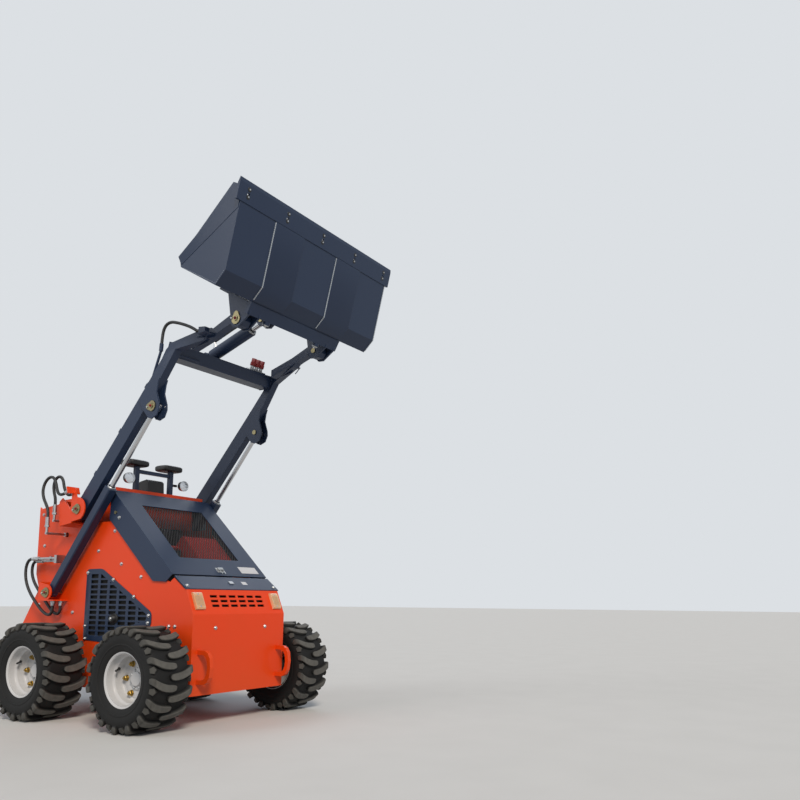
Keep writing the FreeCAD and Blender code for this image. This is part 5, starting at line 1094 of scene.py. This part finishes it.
# black sheets behind the side guards, the rear grille and the vent: painted shade that hides the engine bay
pads = [beside(prism(SIDE_SHADE_SHEET, 0.0, 18.0, 4.0), 0, 340, 0, sign) for side, sign in SIDES]
pads.append(moved(prism(REAR_SHADE_SHEET, 0.0, 14.0, 3.0), (-345, 0, 0), ACROSS, UP, ALONG))
pads.append(moved(prism(VENT_SHADE_SHEET, 0.0, 14.0, 3.0), face_start - 40 * face_out, *ON_FACE))
fit("painted_shade_sheets", pads, "chassis", "foam_rubber", shade_sheet_finish)
gussets = [beside(prism(GUSSET, 0.0, 4.4, 0.5), 0, 363, 0, sign) for side, sign in SIDES]
fit("strip_end_gussets", gussets, "chassis", "orange_paint")
print("studs", len(studs), "foam pads", len(pads))

# %% [markdown]
# Side guards. Each is laser cut from one sheet: a frame with round corners and a grid of narrow
# openings that run on to its slanting edge. The frame is a ring between two rounded outlines, and the
# grid is two sets of bars that end inside the frame. A black rubber cap stands on each guard.

# %% Side guards
FRAME_EDGE = np.array([(-345, 918), (-195, 920), (284, 652), (284, 570), (-164, 464), (-345, 476)], float)
OPENING = np.array([(-297, 886), (-200, 886), (240, 641), (240, 606), (-172, 502), (-297, 505)], float)
ROW_PITCH, ROW_LOW, COLUMN_PITCH, COLUMN_FIRST, SINK = 32.0, 534.0, 92.5, -217.0, 9


def rounded(outline, radius, steps=6):
    """Each corner becomes a curve between two points that stand the radius away from it: the corner
    is weighed by 2t(1 - t), and those two points by the squares of 1 - t and of t."""
    before, after = np.roll(outline, 1, axis=0) - outline, np.roll(outline, -1, axis=0) - outline
    first_point = outline + radius * before / np.linalg.norm(before, axis=1, keepdims=True)
    last_point = outline + radius * after / np.linalg.norm(after, axis=1, keepdims=True)
    t = np.linspace(0, 1, steps)[None, :, None]
    curve = first_point[:, None] * (1 - t) ** 2 + outline[:, None] * 2 * t * (1 - t)
    curve = curve + last_point[:, None] * t ** 2
    return curve.reshape(-1, 2)


def crossings(axis, level):
    """Where a straight line at that level crosses the opening: the middle of the stretch inside the
    frame, and its length with both ends sunk in the frame."""
    found = []
    for one, two in zip(OPENING, np.roll(OPENING, -1, axis=0)):
        if (one[axis] - level) * (two[axis] - level) < 0:
            share = (level - one[axis]) / (two[axis] - one[axis])
            found.append(one[1 - axis] + share * (two[1 - axis] - one[1 - axis]))
    return (min(found) + max(found)) / 2, max(found) - min(found) + 2 * SINK


outer, inner = rounded(FRAME_EDGE, 26), rounded(OPENING, 12)
ring = [(outer, 368.0), (outer, 371.4), (outer + (inner - outer) * 0.02, 372.0), (inner, 372.0),
        (inner, 368.0)]
rings = [np.column_stack([edge, np.full(len(edge), out)]) for edge, out in ring]
guard_forms = [skin(np.array(rings), True, True)]
for level in np.arange(ROW_LOW, 870, ROW_PITCH):
    middle, length = crossings(1, level)
    guard_forms.append(moved(prism(rectangle(length, 10.5), 368.6, 371.5, 0.6), (middle, level, 0)))
for level in np.arange(COLUMN_FIRST, 200, COLUMN_PITCH):
    middle, length = crossings(0, level)
    guard_forms.append(moved(prism(rectangle(23.0, length), 368.4, 371.7, 0.6), (level, middle, 0)))
CAP = [(-1.0, 0.1), (-1.0, 31.0), (6.0, 31.0), (9.0, 27.0), (26.0, 24.0), (31.0, 19.0), (32.0, 0.1)]
cap, cap_bolt = turned(CAP, 40), stack((6, 7.5, 31.0, 37.0, 1.0), (20, 10.5, 31.0, 33.0, 0.6))
guards = [beside(form, 0, 0, 0, sign) for side, sign in SIDES for form in guard_forms]
caps, cap_bolts = [[beside(form, -46, 371, 611, sign) for side, sign in SIDES] for form in (cap, cap_bolt)]
fit("side_guards", guards, "chassis", "charcoal_paint", stands_for=["side_grilles"])
fit("guard_caps", caps, "chassis", "black_plastic", crease=40)
fit("guard_cap_bolts", cap_bolts, "chassis", "zinc_steel")
print("guard forms", len(guard_forms))
